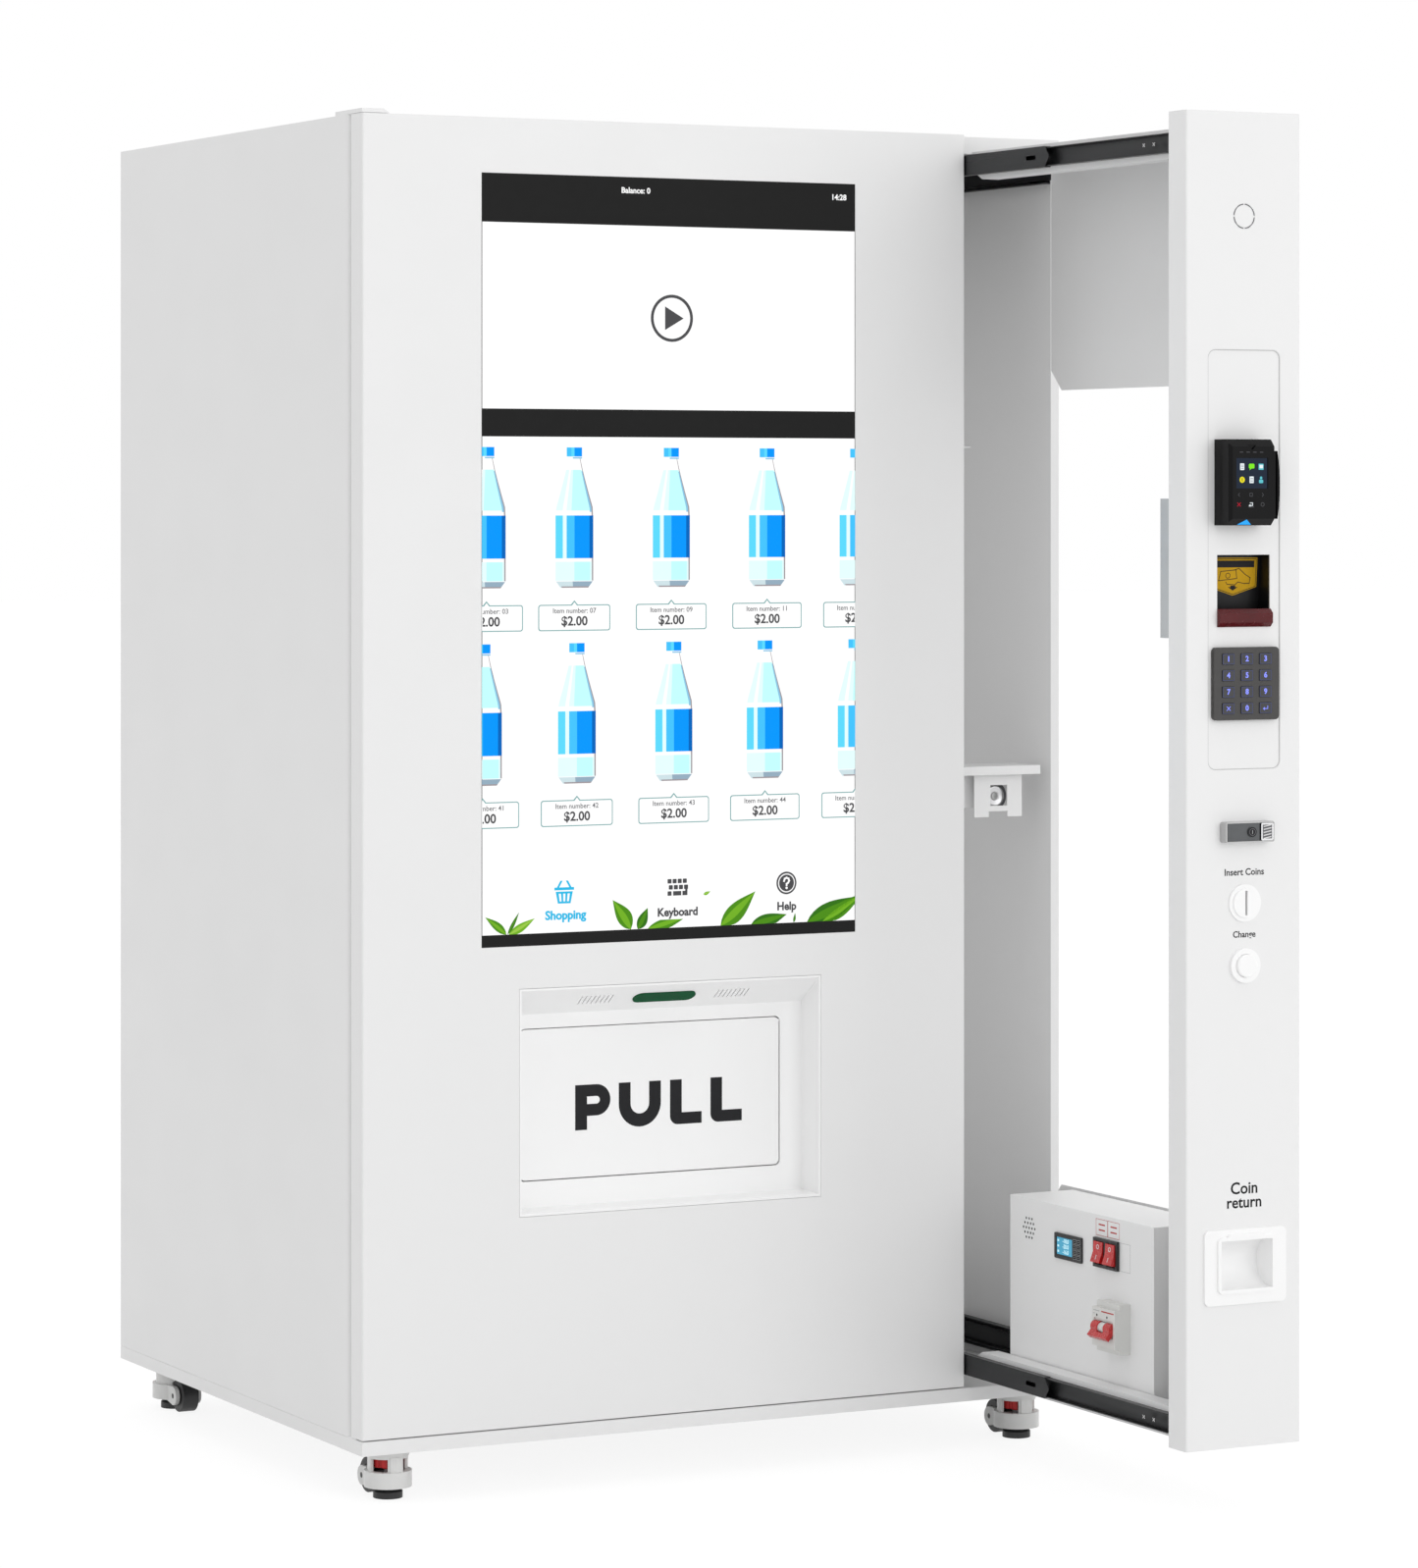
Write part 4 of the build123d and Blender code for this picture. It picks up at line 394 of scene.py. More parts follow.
class Board:
    """A flat place that shapes are drawn on, in millimetres to the right and up from its origin."""

    def __init__(self, name, body, origin, right=(1, 0, 0), up=(0, 0, 1)):
        self.name = name
        self.body = body
        right, up = Vector(right).normalized(), Vector(up).normalized()
        self.matrix = Matrix((right, up, right.cross(up))).transposed().to_4x4()
        self.matrix.translation = Vector(origin)
        self.meshes = {}

    def mesh(self, finish):
        """The mesh that collects what has this finish."""
        return self.meshes.setdefault(finish, bmesh.new())

    def area(self, finish, points, layer=1):
        """A filled outline, raised by a number of ink layers."""
        mesh = self.mesh(finish)
        low = [mesh.verts.new(self.matrix @ Vector((x * MM, y * MM, 0))) for x, y in points]
        high = [mesh.verts.new(self.matrix @ Vector((x * MM, y * MM, layer * INK))) for x, y in points]
        mesh.faces.new(high)
        mesh.faces.new(list(reversed(low)))
        for i in range(len(points)):
            j = (i + 1) % len(points)
            mesh.faces.new((low[i], low[j], high[j], high[i]))

    def rectangle(self, finish, x0, x1, y0, y1, layer=1):
        self.area(finish, [(x0, y0), (x1, y0), (x1, y1), (x0, y1)], layer)

    def rounded(self, finish, x0, x1, y0, y1, radius, layer=1):
        self.area(finish, rounded_points(x0, x1, y0, y1, radius), layer)

    def disc(self, finish, x, y, radius, layer=1):
        self.area(finish, arc_points(x, y, radius, 0, 360)[:-1], layer)

    def band(self, finish, x, y, radius, width, start, stop, layer=1):
        """Part of a ring, from one angle to the other."""
        outer = arc_points(x, y, radius, start, stop)
        inner = arc_points(x, y, radius - width, stop, start)
        self.area(finish, outer + inner, layer)

    def ring(self, finish, x, y, radius, width, layer=1):
        for start in (0, 180):
            self.band(finish, x, y, radius, width, start, start + 180, layer)

    def line(self, finish, points, width, layer=1):
        """A stroke along straight runs."""
        for (xa, ya), (xb, yb) in zip(points, points[1:]):
            run = Vector((xb - xa, yb - ya))
            side = Vector((-run.y, run.x)).normalized() * width / 2
            cap = run.normalized() * width / 2
            a, b = Vector((xa, ya)) - cap, Vector((xb, yb)) + cap
            self.area(finish, [tuple(p) for p in (a - side, b - side, b + side, a + side)], layer)

    def text(self, finish, words, x, y, size, layer=1, bold=0.0, limits=None):
        """Digits or words about a middle point, cut off outside two limits to the right."""
        curve = bpy.data.curves.new("text", "FONT")
        curve.body = words
        curve.size = size * MM
        curve.align_x, curve.align_y = "CENTER", "CENTER"
        curve.extrude = layer * INK / 2
        curve.offset = bold * MM
        curve.resolution_u = 3
        holder = bpy.data.objects.new("text", curve)
        flat = bpy.data.meshes.new_from_object(holder)
        flat.transform(Matrix.Translation((x * MM, y * MM, layer * INK / 2)))
        if limits:
            cut_mesh(flat, *limits)
        flat.transform(self.matrix)
        self.mesh(finish).from_mesh(flat)
        bpy.data.objects.remove(holder)
        bpy.data.curves.remove(curve)
        bpy.data.meshes.remove(flat)

    def done(self, slot):
        """Makes one piece of each finish, which rides on the board's body."""
        for finish, mesh in self.meshes.items():
            bmesh.ops.recalc_face_normals(mesh, faces=mesh.faces)
            add_piece(f"{self.name}_{finish}", mesh, finish, self.body)


def cut_mesh(flat, low, high):
    """Takes away what a flat mesh has beyond two limits along X, in millimetres."""
    mesh = bmesh.new()
    mesh.from_mesh(flat)
    for limit, keep in ((low, -1), (high, 1)):
        parts = mesh.verts[:] + mesh.edges[:] + mesh.faces[:]
        bmesh.ops.bisect_plane(
            mesh, geom=parts, plane_co=(limit * MM, 0, 0), plane_no=(keep, 0, 0), clear_outer=True
        )
    mesh.to_mesh(flat)
    mesh.free()


def arc_points(x, y, radius, start, stop, steps=None):
    """Points along an arc, angles in degrees."""
    steps = steps or max(4, round(ARC_STEPS * abs(stop - start) / 180))
    angles = [math.radians(start + (stop - start) * i / steps) for i in range(steps + 1)]
    return [(x + radius * math.cos(a), y + radius * math.sin(a)) for a in angles]


def rounded_points(x0, x1, y0, y1, radius):
    """A rectangle's outline with round corners."""
    corners = ((x1, y1, 0), (x0, y1, 90), (x0, y0, 180), (x1, y0, 270))
    points = []
    for x, y, start in corners:
        cx = x - radius if x == x1 else x + radius
        cy = y - radius if y == y1 else y + radius
        points += arc_points(cx, cy, radius, start, start + 90, CORNER_STEPS)
    return points


# Colours of what is drawn and gives its own light, and its strength where that isn't 1
INKS = {
    "screen_white": (1.0, 1.0, 1.0), "screen_black": (0.016, 0.016, 0.016), "water": (0.55, 1.0, 1.0),
    "water_pale": (0.78, 1.0, 1.0), "water_dim": (0.26, 0.56, 0.78), "outline_grey": (0.35, 0.31, 0.33),
    "glass_grey": (0.30, 0.42, 0.52), "glass_pale": (0.62, 0.76, 0.80), "label_cyan": (0.11, 0.70, 1.0),
    "label_sky": (0.06, 0.55, 1.0), "label_blue": (0.0, 0.31, 1.0), "label_navy": (0.0, 0.13, 0.50),
    "tag_teal": (0.22, 0.42, 0.42), "digit_dark": (0.075, 0.075, 0.08),
    "digit_grey": (0.17, 0.17, 0.18), "icon_cyan": (0.03, 0.50, 0.80), "leaf_dark": (0.035, 0.17, 0.01),
    "leaf": (0.075, 0.27, 0.01), "leaf_light": (0.17, 0.44, 0.02), "leaf_pale": (0.32, 0.58, 0.07),
    "key_glow": (0.24, 0.28, 1.0), "key_edge": (0.10, 0.12, 0.30), "lcd_blue": (0.10, 0.42, 0.62),
    "lcd_pale": (0.62, 0.92, 1.0), "reader_screen": (0.018, 0.026, 0.045),
    "reader_white": (0.85, 0.92, 0.95), "reader_green": (0.22, 0.85, 0.02),
    "reader_yellow": (0.85, 0.75, 0.02), "reader_cyan": (0.12, 0.55, 0.62),
    "reader_red": (0.45, 0.01, 0.03), "reader_blue": (0.03, 0.38, 0.95),
    "reader_dim": (0.10, 0.10, 0.11),
}
INK_STRENGTHS = {"key_glow": 1.4, "key_edge": 0.8, "lcd_blue": 0.9, "reader_blue": 1.1,
    "reader_dim": 0.8}
# Colours of what is printed and gives no light; the black and grey also serve as painted shade, the white
# also as painted highlight, and the soft grey only as painted shade
PRINTS = {
    "black_print_and_shade": (0.018, 0.018, 0.02), "print_yellow": (0.66, 0.38, 0.012),
    "grey_print_and_shade": (0.16, 0.16, 0.17), "white_print_and_highlight": (0.80, 0.80, 0.80), "print_red": (0.50, 0.02, 0.02),
    "print_pale": (0.45, 0.46, 0.46), "edge_shade_grey": (0.56, 0.56, 0.56),
}
PRINT_LOOK = dict(tint=0.12, blotch=40.0, relief=0.02, specular=0.15)


def ink(name):
    """The finish of a piece; a drawn shape's is made when it is first asked for."""
    if name not in materials:
        if name in INKS:
            materials[name] = lit(name, INKS[name], INK_STRENGTHS.get(name, 1.0), mottle=0.02)
        else:
            materials[name] = surface(name, PRINTS[name], 0.55, **PRINT_LOOK)
    return materials[name]


# The screen's picture, measured to the right and down from its upper left corner, in millimetres
SCREEN_WIDTH = 602.0
SCREEN_HEIGHT = 1095.0
HEADER_BOTTOM = 69.0
FILM_BOTTOM = 333.0
SHELF_TOP = 372.5
FOOTER_TOP = 1078.0
BOTTLE_PLACES = ((7.0, 145.0, 300.0, 456.0, 606.0), (1.0, 149.0, 304.0, 452.5, 603.0))
BOTTLE_TOPS = (387.5, 666.5)
TAG_TOPS = (611.5, 889.9)
TAG_NUMBERS = (("03", "07", "09", "11", "13"), ("41", "42", "43", "44", "45"))
BOTTLE_HEIGHT = 200.0
BOTTLE_WIDTH = 59.5
CAP_WIDTH = 24.0
CAP_HEIGHT = 13.0
TAG_WIDTH = 114.0
TAG_HEIGHT = 37.5
TAG_RIM = 1.5
MENU_DOWN = 1020.0


def clipped(points, low, high):
    """An outline cut off at the screen's two sides."""
    for limit, keep in ((low, 1), (high, -1)):
        cut = []
        for (xa, ya), (xb, yb) in zip(points, points[1:] + points[:1]):
            a_in, b_in = (xa - limit) * keep >= 0, (xb - limit) * keep >= 0
            if a_in:
                cut.append((xa, ya))
            if a_in != b_in:
                t = (limit - xa) / (xb - xa)
                cut.append((limit, ya + t * (yb - ya)))
        points = cut
    return points


class Screen(Board):
    """The screen's picture: a board whose shapes go down from the top and end at the sides."""

    def area(self, finish, points, layer=1):
        inside = clipped([(x, -y) for x, y in points], 0.0, SCREEN_WIDTH)
        if len(inside) > 2:
            super().area(finish, inside, layer)

    def down_text(self, finish, words, x, y, size, layer=1, bold=0.0):
        """Text that ends at the screen's sides."""
        self.text(finish, words, x, -y, size, layer, bold, (0.8, SCREEN_WIDTH - 0.8))


# The bottle's outline: where its parts end, as shares of its height from the top, and their half widths
NECK_END = 0.085
SHOULDER_END = 0.44
FOOT_START = 0.95
FOOT_SHARE = 0.05
NECK_HALF = 9.0
SHOULDER_HALF = 9.5
SHOULDER_CURVE = 1.12
FOOT_TAPER = 8.0


def bottle_half(t):
    """Half width of the bottle at a share t of its height from the top."""
    if t < NECK_END:
        return NECK_HALF
    if t < SHOULDER_END:
        s = (t - NECK_END) / (SHOULDER_END - NECK_END)
        return SHOULDER_HALF + (BOTTLE_WIDTH / 2 - SHOULDER_HALF) * (s ** SHOULDER_CURVE)
    if t < FOOT_START:
        return BOTTLE_WIDTH / 2
    return BOTTLE_WIDTH / 2 - FOOT_TAPER * (t - FOOT_START) / FOOT_SHARE


def bottle_band(screen, finish, x, top, t0, t1, left, right, layer):
    """A slice of the bottle between two heights and between two shares of its half width."""
    steps = 10
    shares = [t0 + (t1 - t0) * i / steps for i in range(steps + 1)]
    edge_l = [(x + left * bottle_half(t), top + t * BOTTLE_HEIGHT) for t in shares]
    edge_r = [(x + right * bottle_half(t), top + t * BOTTLE_HEIGHT) for t in reversed(shares)]
    screen.area(finish, edge_l + edge_r, layer)


# Slices of the bottle: finish, the two shares of its height, the two of its half width, and the layer
BOTTLE_BANDS = (
    ("water_pale", 0.16, 0.45, -0.98, 1.0, 3), ("water", 0.16, 0.45, -0.15, 0.82, 4),
    ("screen_white", 0.16, 0.45, -0.62, -0.42, 4), ("water_dim", 0.17, 0.46, 0.82, 0.93, 4),
    ("outline_grey", 0.075, 0.95, 0.93, 1.0, 5), ("water_pale", 0.815, 0.95, -1.0, 1.0, 3),
    ("water", 0.815, 0.95, 0.0, 0.84, 4), ("glass_pale", 0.955, 1.0, -1.0, -0.1, 5),
    ("glass_grey", 0.955, 1.0, -0.1, 1.0, 5), ("outline_grey", 0.99, 1.0, -0.9, 1.0, 6),
    ("label_cyan", 0.485, 0.79, -1.0, -0.62, 6), ("water_pale", 0.485, 0.79, -0.62, -0.42, 6),
    ("label_sky", 0.485, 0.79, -0.42, 0.0, 6), ("label_blue", 0.485, 0.79, 0.0, 0.8, 6),
    ("label_navy", 0.485, 0.79, 0.8, 1.0, 6),
)


def draw_bottle(screen, x, top):
    """A plain water bottle with a bare striped label."""
    for finish, t0, t1, left, right, layer in BOTTLE_BANDS:
        bottle_band(screen, finish, x, top, t0, t1, left, right, layer)
    half = CAP_WIDTH / 2
    facets = ((-1.0, -0.4, "label_sky"), (-0.4, 0.0, "label_cyan"), (0.0, 1.0, "label_blue"))
    for left, right, finish in facets:
        screen.rectangle(finish, x + left * half, x + right * half, top, top + CAP_HEIGHT, 6)
    screen.rectangle("water_dim", x - half * 0.2, x + half, top + CAP_HEIGHT + 1, top + CAP_HEIGHT + 3, 6)


def draw_tag(screen, x, top, number):
    """An outlined tag under a bottle with a number and a price."""
    left, right, bottom = x - TAG_WIDTH / 2, x + TAG_WIDTH / 2, top + TAG_HEIGHT
    screen.rounded("tag_teal", left, right, top, bottom, 4.0, 3)
    rim = TAG_RIM
    screen.rounded("screen_white", left + rim, right - rim, top + rim, bottom - rim, 3.0, 4)
    screen.area("tag_teal", [(x - 5.5, top + 0.2), (x, top - 6), (x + 5.5, top + 0.2)], 4)
    screen.area("screen_white", [(x - 4, top + rim), (x, top - 3.5), (x + 4, top + rim)], 5)
    screen.down_text("digit_grey", "Item number: " + number, x, top + 9.0, 10.2, 5, bold=0.12)
    screen.down_text("digit_dark", "$2.00", x, top + 24.0, 18.5, 5, bold=0.45)


def leaf_outline(x, y, length, width, turn, steps=12):
    """A pointed leaf from its foot at (x, y), turned from straight up."""
    side = []
    for i in range(steps + 1):
        t = i / steps
        side.append((t * length, width / 2 * math.sin(math.pi * t ** 0.8) * (1 - 0.25 * t)))
    outline = side + [(a, -b * 0.75) for a, b in reversed(side[1:-1])]
    c, s = math.cos(math.radians(turn)), math.sin(math.radians(turn))
    return [(x + b * c + a * s, y - a * c + b * s) for a, b in outline]


# Leaves along the footer: place to the right, length, width, turn and finish
LEAVES = (
    (38, 42, 15, -52, "leaf"), (40, 36, 7, 30, "leaf_dark"), (42, 46, 15, 62, "leaf_light"),
    (235, 52, 30, -34, "leaf"), (246, 34, 20, 28, "leaf_dark"), (262, 66, 20, 76, "leaf"),
    (380, 74, 34, 50, "leaf"), (430, 60, 26, 78, "leaf_dark"), (500, 14, 5, 10, "leaf_dark"),
    (522, 92, 38, 68, "leaf_dark"), (548, 78, 26, 60, "leaf"),
)
LEAF_LIGHTS = {"leaf_dark": "leaf", "leaf": "leaf_light", "leaf_light": "leaf_pale"}


def draw_leaf(screen, x, y, length, width, turn, finish, layer=3):
    """A leaf with a lighter half, cut off at the footer."""
    whole = leaf_outline(x, y, length, width, turn)
    half = leaf_outline(x, y, length, width * 0.4, turn)
    for points, colour, level in ((whole, finish, layer), (half, LEAF_LIGHTS[finish], layer + 1)):
        kept = [(a, min(b, FOOTER_TOP)) for a, b in points]
        screen.area(colour, kept, level)


def draw_basket(screen, x, y):
    """Shopping basket sign."""
    screen.rectangle("icon_cyan", x - 15.5, x + 15.5, y - 6, y - 2, 3)
    screen.area("icon_cyan", [(x - 13.5, y), (x + 13.5, y), (x + 10, y + 17), (x - 10, y + 17)], 3)
    for i in (-1, 0, 1):
        top_x, foot_x = x + i * 7, x + i * 5.8
        slot = [(top_x - 1.7, y + 3), (top_x + 1.7, y + 3), (foot_x + 1.4, y + 14), (foot_x - 1.4, y + 14)]
        screen.area("screen_white", slot, 4)
    for side in (-1, 1):
        handle = ((11.5, 6), (8, 6), (2.5, 15.5), (6, 15.5))
        screen.area("icon_cyan", [(x + side * out, y - up) for out, up in handle], 3)


def draw_keyboard(screen, x, y):
    """Keyboard sign: three rows of square keys, the last with a space bar and a corner key."""
    key, pitch = 6.4, 8.2
    for row in range(3):
        down = y - 12 + row * (pitch + 0.6)
        for column in range(4):
            left = x - 16 + column * pitch + (row == 1) * 2
            if row < 2 or column == 0:
                screen.rounded("digit_dark", left, left + key, down, down + key, 1.0, 3)
    foot = y - 12 + 2 * (pitch + 0.6)
    screen.rectangle("digit_dark", x - 7, x + 6, foot, foot + key, 3)
    screen.rectangle("digit_dark", x + 8, x + 16, foot, foot + key, 3)
    screen.rectangle("digit_dark", x + 12.5, x + 16, foot - 7, foot, 3)


def draw_help(screen, x, y):
    """Question mark in a ring."""
    screen.disc("digit_dark", x, y, 16.5, 3)
    screen.disc("screen_white", x, y, 13.8, 4)
    screen.disc("digit_dark", x, y, 12.2, 5)
    hook = [(x + dx, y + dy) for dx, dy in ((-4.2, -3.0), (-3.0, -6.2), (0.0, -7.6), (3.2, -6.2), (4.2, -3.2),
                                            (2.6, -0.4), (0.2, 1.2), (0.0, 3.4))]
    screen.line("screen_white", hook, 2.6, 7)
    screen.disc("screen_white", x, y + 7.2, 1.8, 7)


def draw_screen():
    """Everything that the screen shows."""
    low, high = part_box("display_screen")
    glass_left = (low.x + high.x) / 2 - SCREEN_WIDTH * MM / 2
    glass_top = (low.z + high.z) / 2 + SCREEN_HEIGHT * MM / 2
    screen = Screen("screen", "door", (glass_left, low.y, glass_top))
    edge = 0.6
    downs = (edge, HEADER_BOTTOM, FILM_BOTTOM, SHELF_TOP, FOOTER_TOP, SCREEN_HEIGHT - edge)
    for i, (top, bottom) in enumerate(zip(downs, downs[1:])):
        screen.rectangle("screen_white" if i % 2 else "screen_black", edge, SCREEN_WIDTH - edge, top, bottom)
    film_x, film_y = SCREEN_WIDTH / 2, (HEADER_BOTTOM + FILM_BOTTOM) / 2
    screen.ring("digit_dark", film_x, film_y, 34, 4.5, 3)
    arrow = [(film_x + dx, film_y + dy) for dx, dy in ((-11, -17), (19, 0), (-11, 17))]
    screen.area("digit_dark", arrow, 3)
    for bottle_top, tag_top, places, numbers in zip(BOTTLE_TOPS, TAG_TOPS, BOTTLE_PLACES, TAG_NUMBERS):
        for x, number in zip(places, numbers):
            draw_bottle(screen, x, bottle_top)
            draw_tag(screen, x, tag_top, number)
    draw_basket(screen, 129, MENU_DOWN)
    draw_keyboard(screen, 310, MENU_DOWN)
    draw_help(screen, 488, MENU_DOWN)
    screen.rectangle("screen_white", 272, 348, MENU_DOWN + 25, MENU_DOWN + 46, 6)
    screen.rectangle("screen_white", 462, 514, MENU_DOWN + 21, MENU_DOWN + 42, 6)
    screen.down_text("icon_cyan", "Shopping", 131, MENU_DOWN + 34, 17.6, 7, bold=0.6)
    screen.down_text("digit_dark", "Keyboard", 310, MENU_DOWN + 36, 16.6, 7, bold=0.6)
    screen.down_text("digit_dark", "Help", 488, MENU_DOWN + 34, 16.6, 7, bold=0.6)
    screen.down_text("screen_white", "Balance: 0", 243, 19, 11.5, 2, bold=0.3)
    screen.down_text("screen_white", "14:28", 575, 20, 11.5, 2, bold=0.3)
    for x, length, width, turn, finish in LEAVES:
        draw_leaf(screen, x, FOOTER_TOP, length, width, turn, finish)
    draw_leaf(screen, 352, FOOTER_TOP - 46, 12, 6, 70, "leaf_light")
    screen.done("screen_glass")


# Small marks and fittings, in millimetres from the corners of the CAD nodes that carry them
def reader_board(name, right_mm, up_mm, back_mm=0.0):
    """A board on the card reader's front, counted from its lower left corner."""
    low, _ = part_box("card_reader")
    return Board(name, "column", (low.x + right_mm * MM, low.y + back_mm * MM, low.z + up_mm * MM))


def control_board(name, from_back_mm, from_top_mm, out_mm=0.0):
    """A board on the control box's left face, counted from its back and top; right is forward."""
    low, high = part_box("control_box")
    place = (low.x - out_mm * MM, high.y - from_back_mm * MM, high.z - from_top_mm * MM)
    return Board(name, "column", place, right=(0, -1, 0))


def middle_of(node):
    low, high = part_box(node)
    return (low + high) / 2


KEY_SIGNS = ("1", "2", "3", "4", "5", "6", "7", "8", "9", "0")
KEY_SIGN_SIZE = 10.5
KEY_EDGE = 0.8


def mark_keys():
    """A lit sign and a faint edge on each key of the keypad."""
    for sign in KEY_SIGNS + ("clear", "enter"):
        node = "key_" + sign
        low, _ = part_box(node)
        middle = middle_of(node)
        board = Board("sign_" + sign, node, (middle.x, low.y, middle.z))
        x, z = (middle.x - low.x) / MM - KEY_EDGE, (middle.z - low.z) / MM - KEY_EDGE
        for ends in (((-x, -z), (x, -z)), ((x, z), (-x, z)), ((-x, z), (-x, -z)), ((x, -z), (x, z))):
            board.line("key_edge", ends, 0.5)
        if sign == "clear":
            board.line("key_glow", [(-2.6, -2.6), (2.6, 2.6)], 0.9)
            board.line("key_glow", [(-2.6, 2.6), (2.6, -2.6)], 0.9, 2)
        elif sign == "enter":
            board.line("key_glow", [(3.4, 2.8), (3.4, -1.0), (-3.0, -1.0)], 0.9)
            board.area("key_glow", [(-4.4, -1.0), (-1.6, 1.2), (-1.6, -3.2)], 2)
        else:
            board.text("key_glow", sign, 0, 0, KEY_SIGN_SIZE, bold=0.3)
        board.done("black_plastic")


READER_SCREEN_LEFT = 10.0
READER_SCREEN_DROP = 25.5
READER_SCREEN = (52.0, 43.0)
READER_SUNK = 1.0
READER_BEVEL = 9.0
READER_LIGHT_RIGHT = 28.0


def mark_reader():
    """The card reader's small screen with its icons, the keys below it and the marks on its bevels."""
    low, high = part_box("card_reader")
    top = (high.z - low.z) / MM
    screen_bottom = top - READER_SCREEN_DROP - READER_SCREEN[1]
    board = reader_board("reader_screen", READER_SCREEN_LEFT, screen_bottom, READER_SUNK)
    wide, tall = READER_SCREEN
    board.rounded("reader_screen", 0.6, wide - 0.6, 0.6, tall - 0.6, 1.0)
    for kind, colour in enumerate(("white", "green", "cyan", "yellow", "white", "cyan")):
        row, column = divmod(kind, 3)
        x, y = 10.5 + 15.5 * column, tall - 12.5 - 18.0 * row
        draw_reader_icon(board, "reader_" + colour, x, y, kind)
    board.done("screen_glass")
    keys = reader_board("reader_keys", READER_SCREEN_LEFT, screen_bottom - 22.0)
    home = [(22.4, 16.0), (26.8, 16.0), (26.8, 11.8), (22.4, 11.8), (22.4, 16.0)]
    for sign in ([(5.6, 16.0), (3.6, 13.8), (5.6, 11.6)], home, [(43.0, 16.0), (45.0, 13.8), (43.0, 11.6)]):
        keys.line("reader_dim", sign, 0.8)
    keys.line("reader_red", [(2.4, 2.6), (7.0, -1.8)], 1.1)
    keys.line("reader_red", [(2.4, -1.8), (7.0, 2.6)], 1.1, 2)
    keys.line("reader_white", [(23.2, 2.6), (27.0, 2.6), (27.0, -1.0), (22.8, -1.0)], 1.0)
    keys.area("reader_white", [(20.6, -1.0), (23.4, 0.9), (23.4, -2.9)], 2)
    keys.ring("reader_dim", 43.4, 0.4, 3.0, 0.9)
    keys.rectangle("reader_dim", 20.0, 29.0, -3.6, -2.2)
    keys.done("black_plastic")
    marks_up = top - READER_SCREEN_DROP + 7.0
    marks = reader_board("reader_marks", READER_SCREEN_LEFT, marks_up)
    for i in range(4):
        marks.rectangle("reader_dim", 6.0 + 11.0 * i, 11.5 + 11.0 * i, 0, 1.2)
    marks.done("black_plastic")
    bevel = READER_BEVEL * MM
    light = Board("reader_light", "column", (low.x + READER_LIGHT_RIGHT * MM, low.y + bevel, low.z),
                  up=(0, -bevel, bevel))
    light.area("reader_blue", [(-11.5, 1.5), (11.5, 1.5), (0, 11.5)])
    light.done("black_plastic")


def draw_reader_icon(board, finish, x, y, kind):
    """One of the six signs on the card reader's screen."""
    if kind in (0, 4):
        board.rounded(finish, x - 3.4, x + 3.4, y - 4.6, y + 4.6, 0.8, 2)
        for i in range(3):
            board.rectangle("reader_screen", x - 2.2, x + 2.2, y + 1.8 - 2.2 * i, y + 2.4 - 2.2 * i, 3)
    elif kind == 1:
        board.rounded(finish, x - 4.6, x + 4.6, y - 2.4, y + 4.2, 1.8, 2)
        board.area(finish, [(x - 2.6, y - 1.8), (x - 3.4, y - 5.0), (x + 0.6, y - 1.8)], 2)
    elif kind == 2:
        board.rounded(finish, x - 4.0, x + 4.0, y - 4.2, y + 4.2, 0.8, 2)
        board.rounded("reader_white", x - 2.6, x + 3.0, y - 2.0, y + 2.6, 0.6, 3)
    elif kind == 3:
        board.disc(finish, x, y, 4.2, 2)
        board.rectangle("reader_screen", x - 0.5, x + 0.5, y - 2.4, y + 2.4, 3)
    else:
        board.disc(finish, x, y + 2.6, 2.0, 2)
        board.rounded(finish, x - 3.4, x + 3.4, y - 4.6, y + 0.2, 1.4, 2)


BILL_MOUTH_BOTTOM = 18.0
BILL_POCKET_DEPTH = 30.0
BILL_POCKET_SLANT = (8.0, 100.0)


def mark_banknote_slot():
    """The yellow plate in the banknote pocket, with a bare band, an arrow and a hand with a banknote."""
    low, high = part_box("bill_acceptor")
    slant = Vector((0, -BILL_POCKET_SLANT[0], BILL_POCKET_SLANT[1]))
    place = ((low.x + high.x) / 2, low.y + BILL_POCKET_DEPTH * MM, low.z + BILL_MOUTH_BOTTOM * MM)
    board = Board("banknote_plate", "column", place, up=slant)
    plate = [(-39, 96), (-39, 55), (0, 43), (39, 55), (39, 96)]
    rim = [(x * 0.965, 70 + (y - 70) * 0.95) for x, y in plate]
    field = [(x * 0.94, 70 + (y - 70) * 0.915) for x, y in plate]
    fills = (("print_yellow", plate), ("black_print_and_shade", rim), ("print_yellow", field))
    for layer, (finish, points) in enumerate(fills, 1):
        board.area(finish, list(reversed(points)), layer)
    board.rectangle("black_print_and_shade", -34, 34, 82.5, 92.0, 4)
    note = [(-24, 64), (-21, 77), (4, 79), (6, 67), (-24, 64)]
    board.line("black_print_and_shade", note, 1.0, 4)
    board.ring("black_print_and_shade", -9, 71, 4.0, 0.9, 4)
    hand = [(2, 79), (9, 81), (19, 73), (28, 68), (27, 60), (18, 60), (8, 62), (3, 58), (-10, 59), (-12, 62)]
    board.line("black_print_and_shade", hand, 1.0, 4)
    board.area("black_print_and_shade", [(-8, 55), (0, 50), (8, 55), (4, 55), (4, 57), (-4, 57), (-4, 55)], 4)
    board.done("black_plastic")


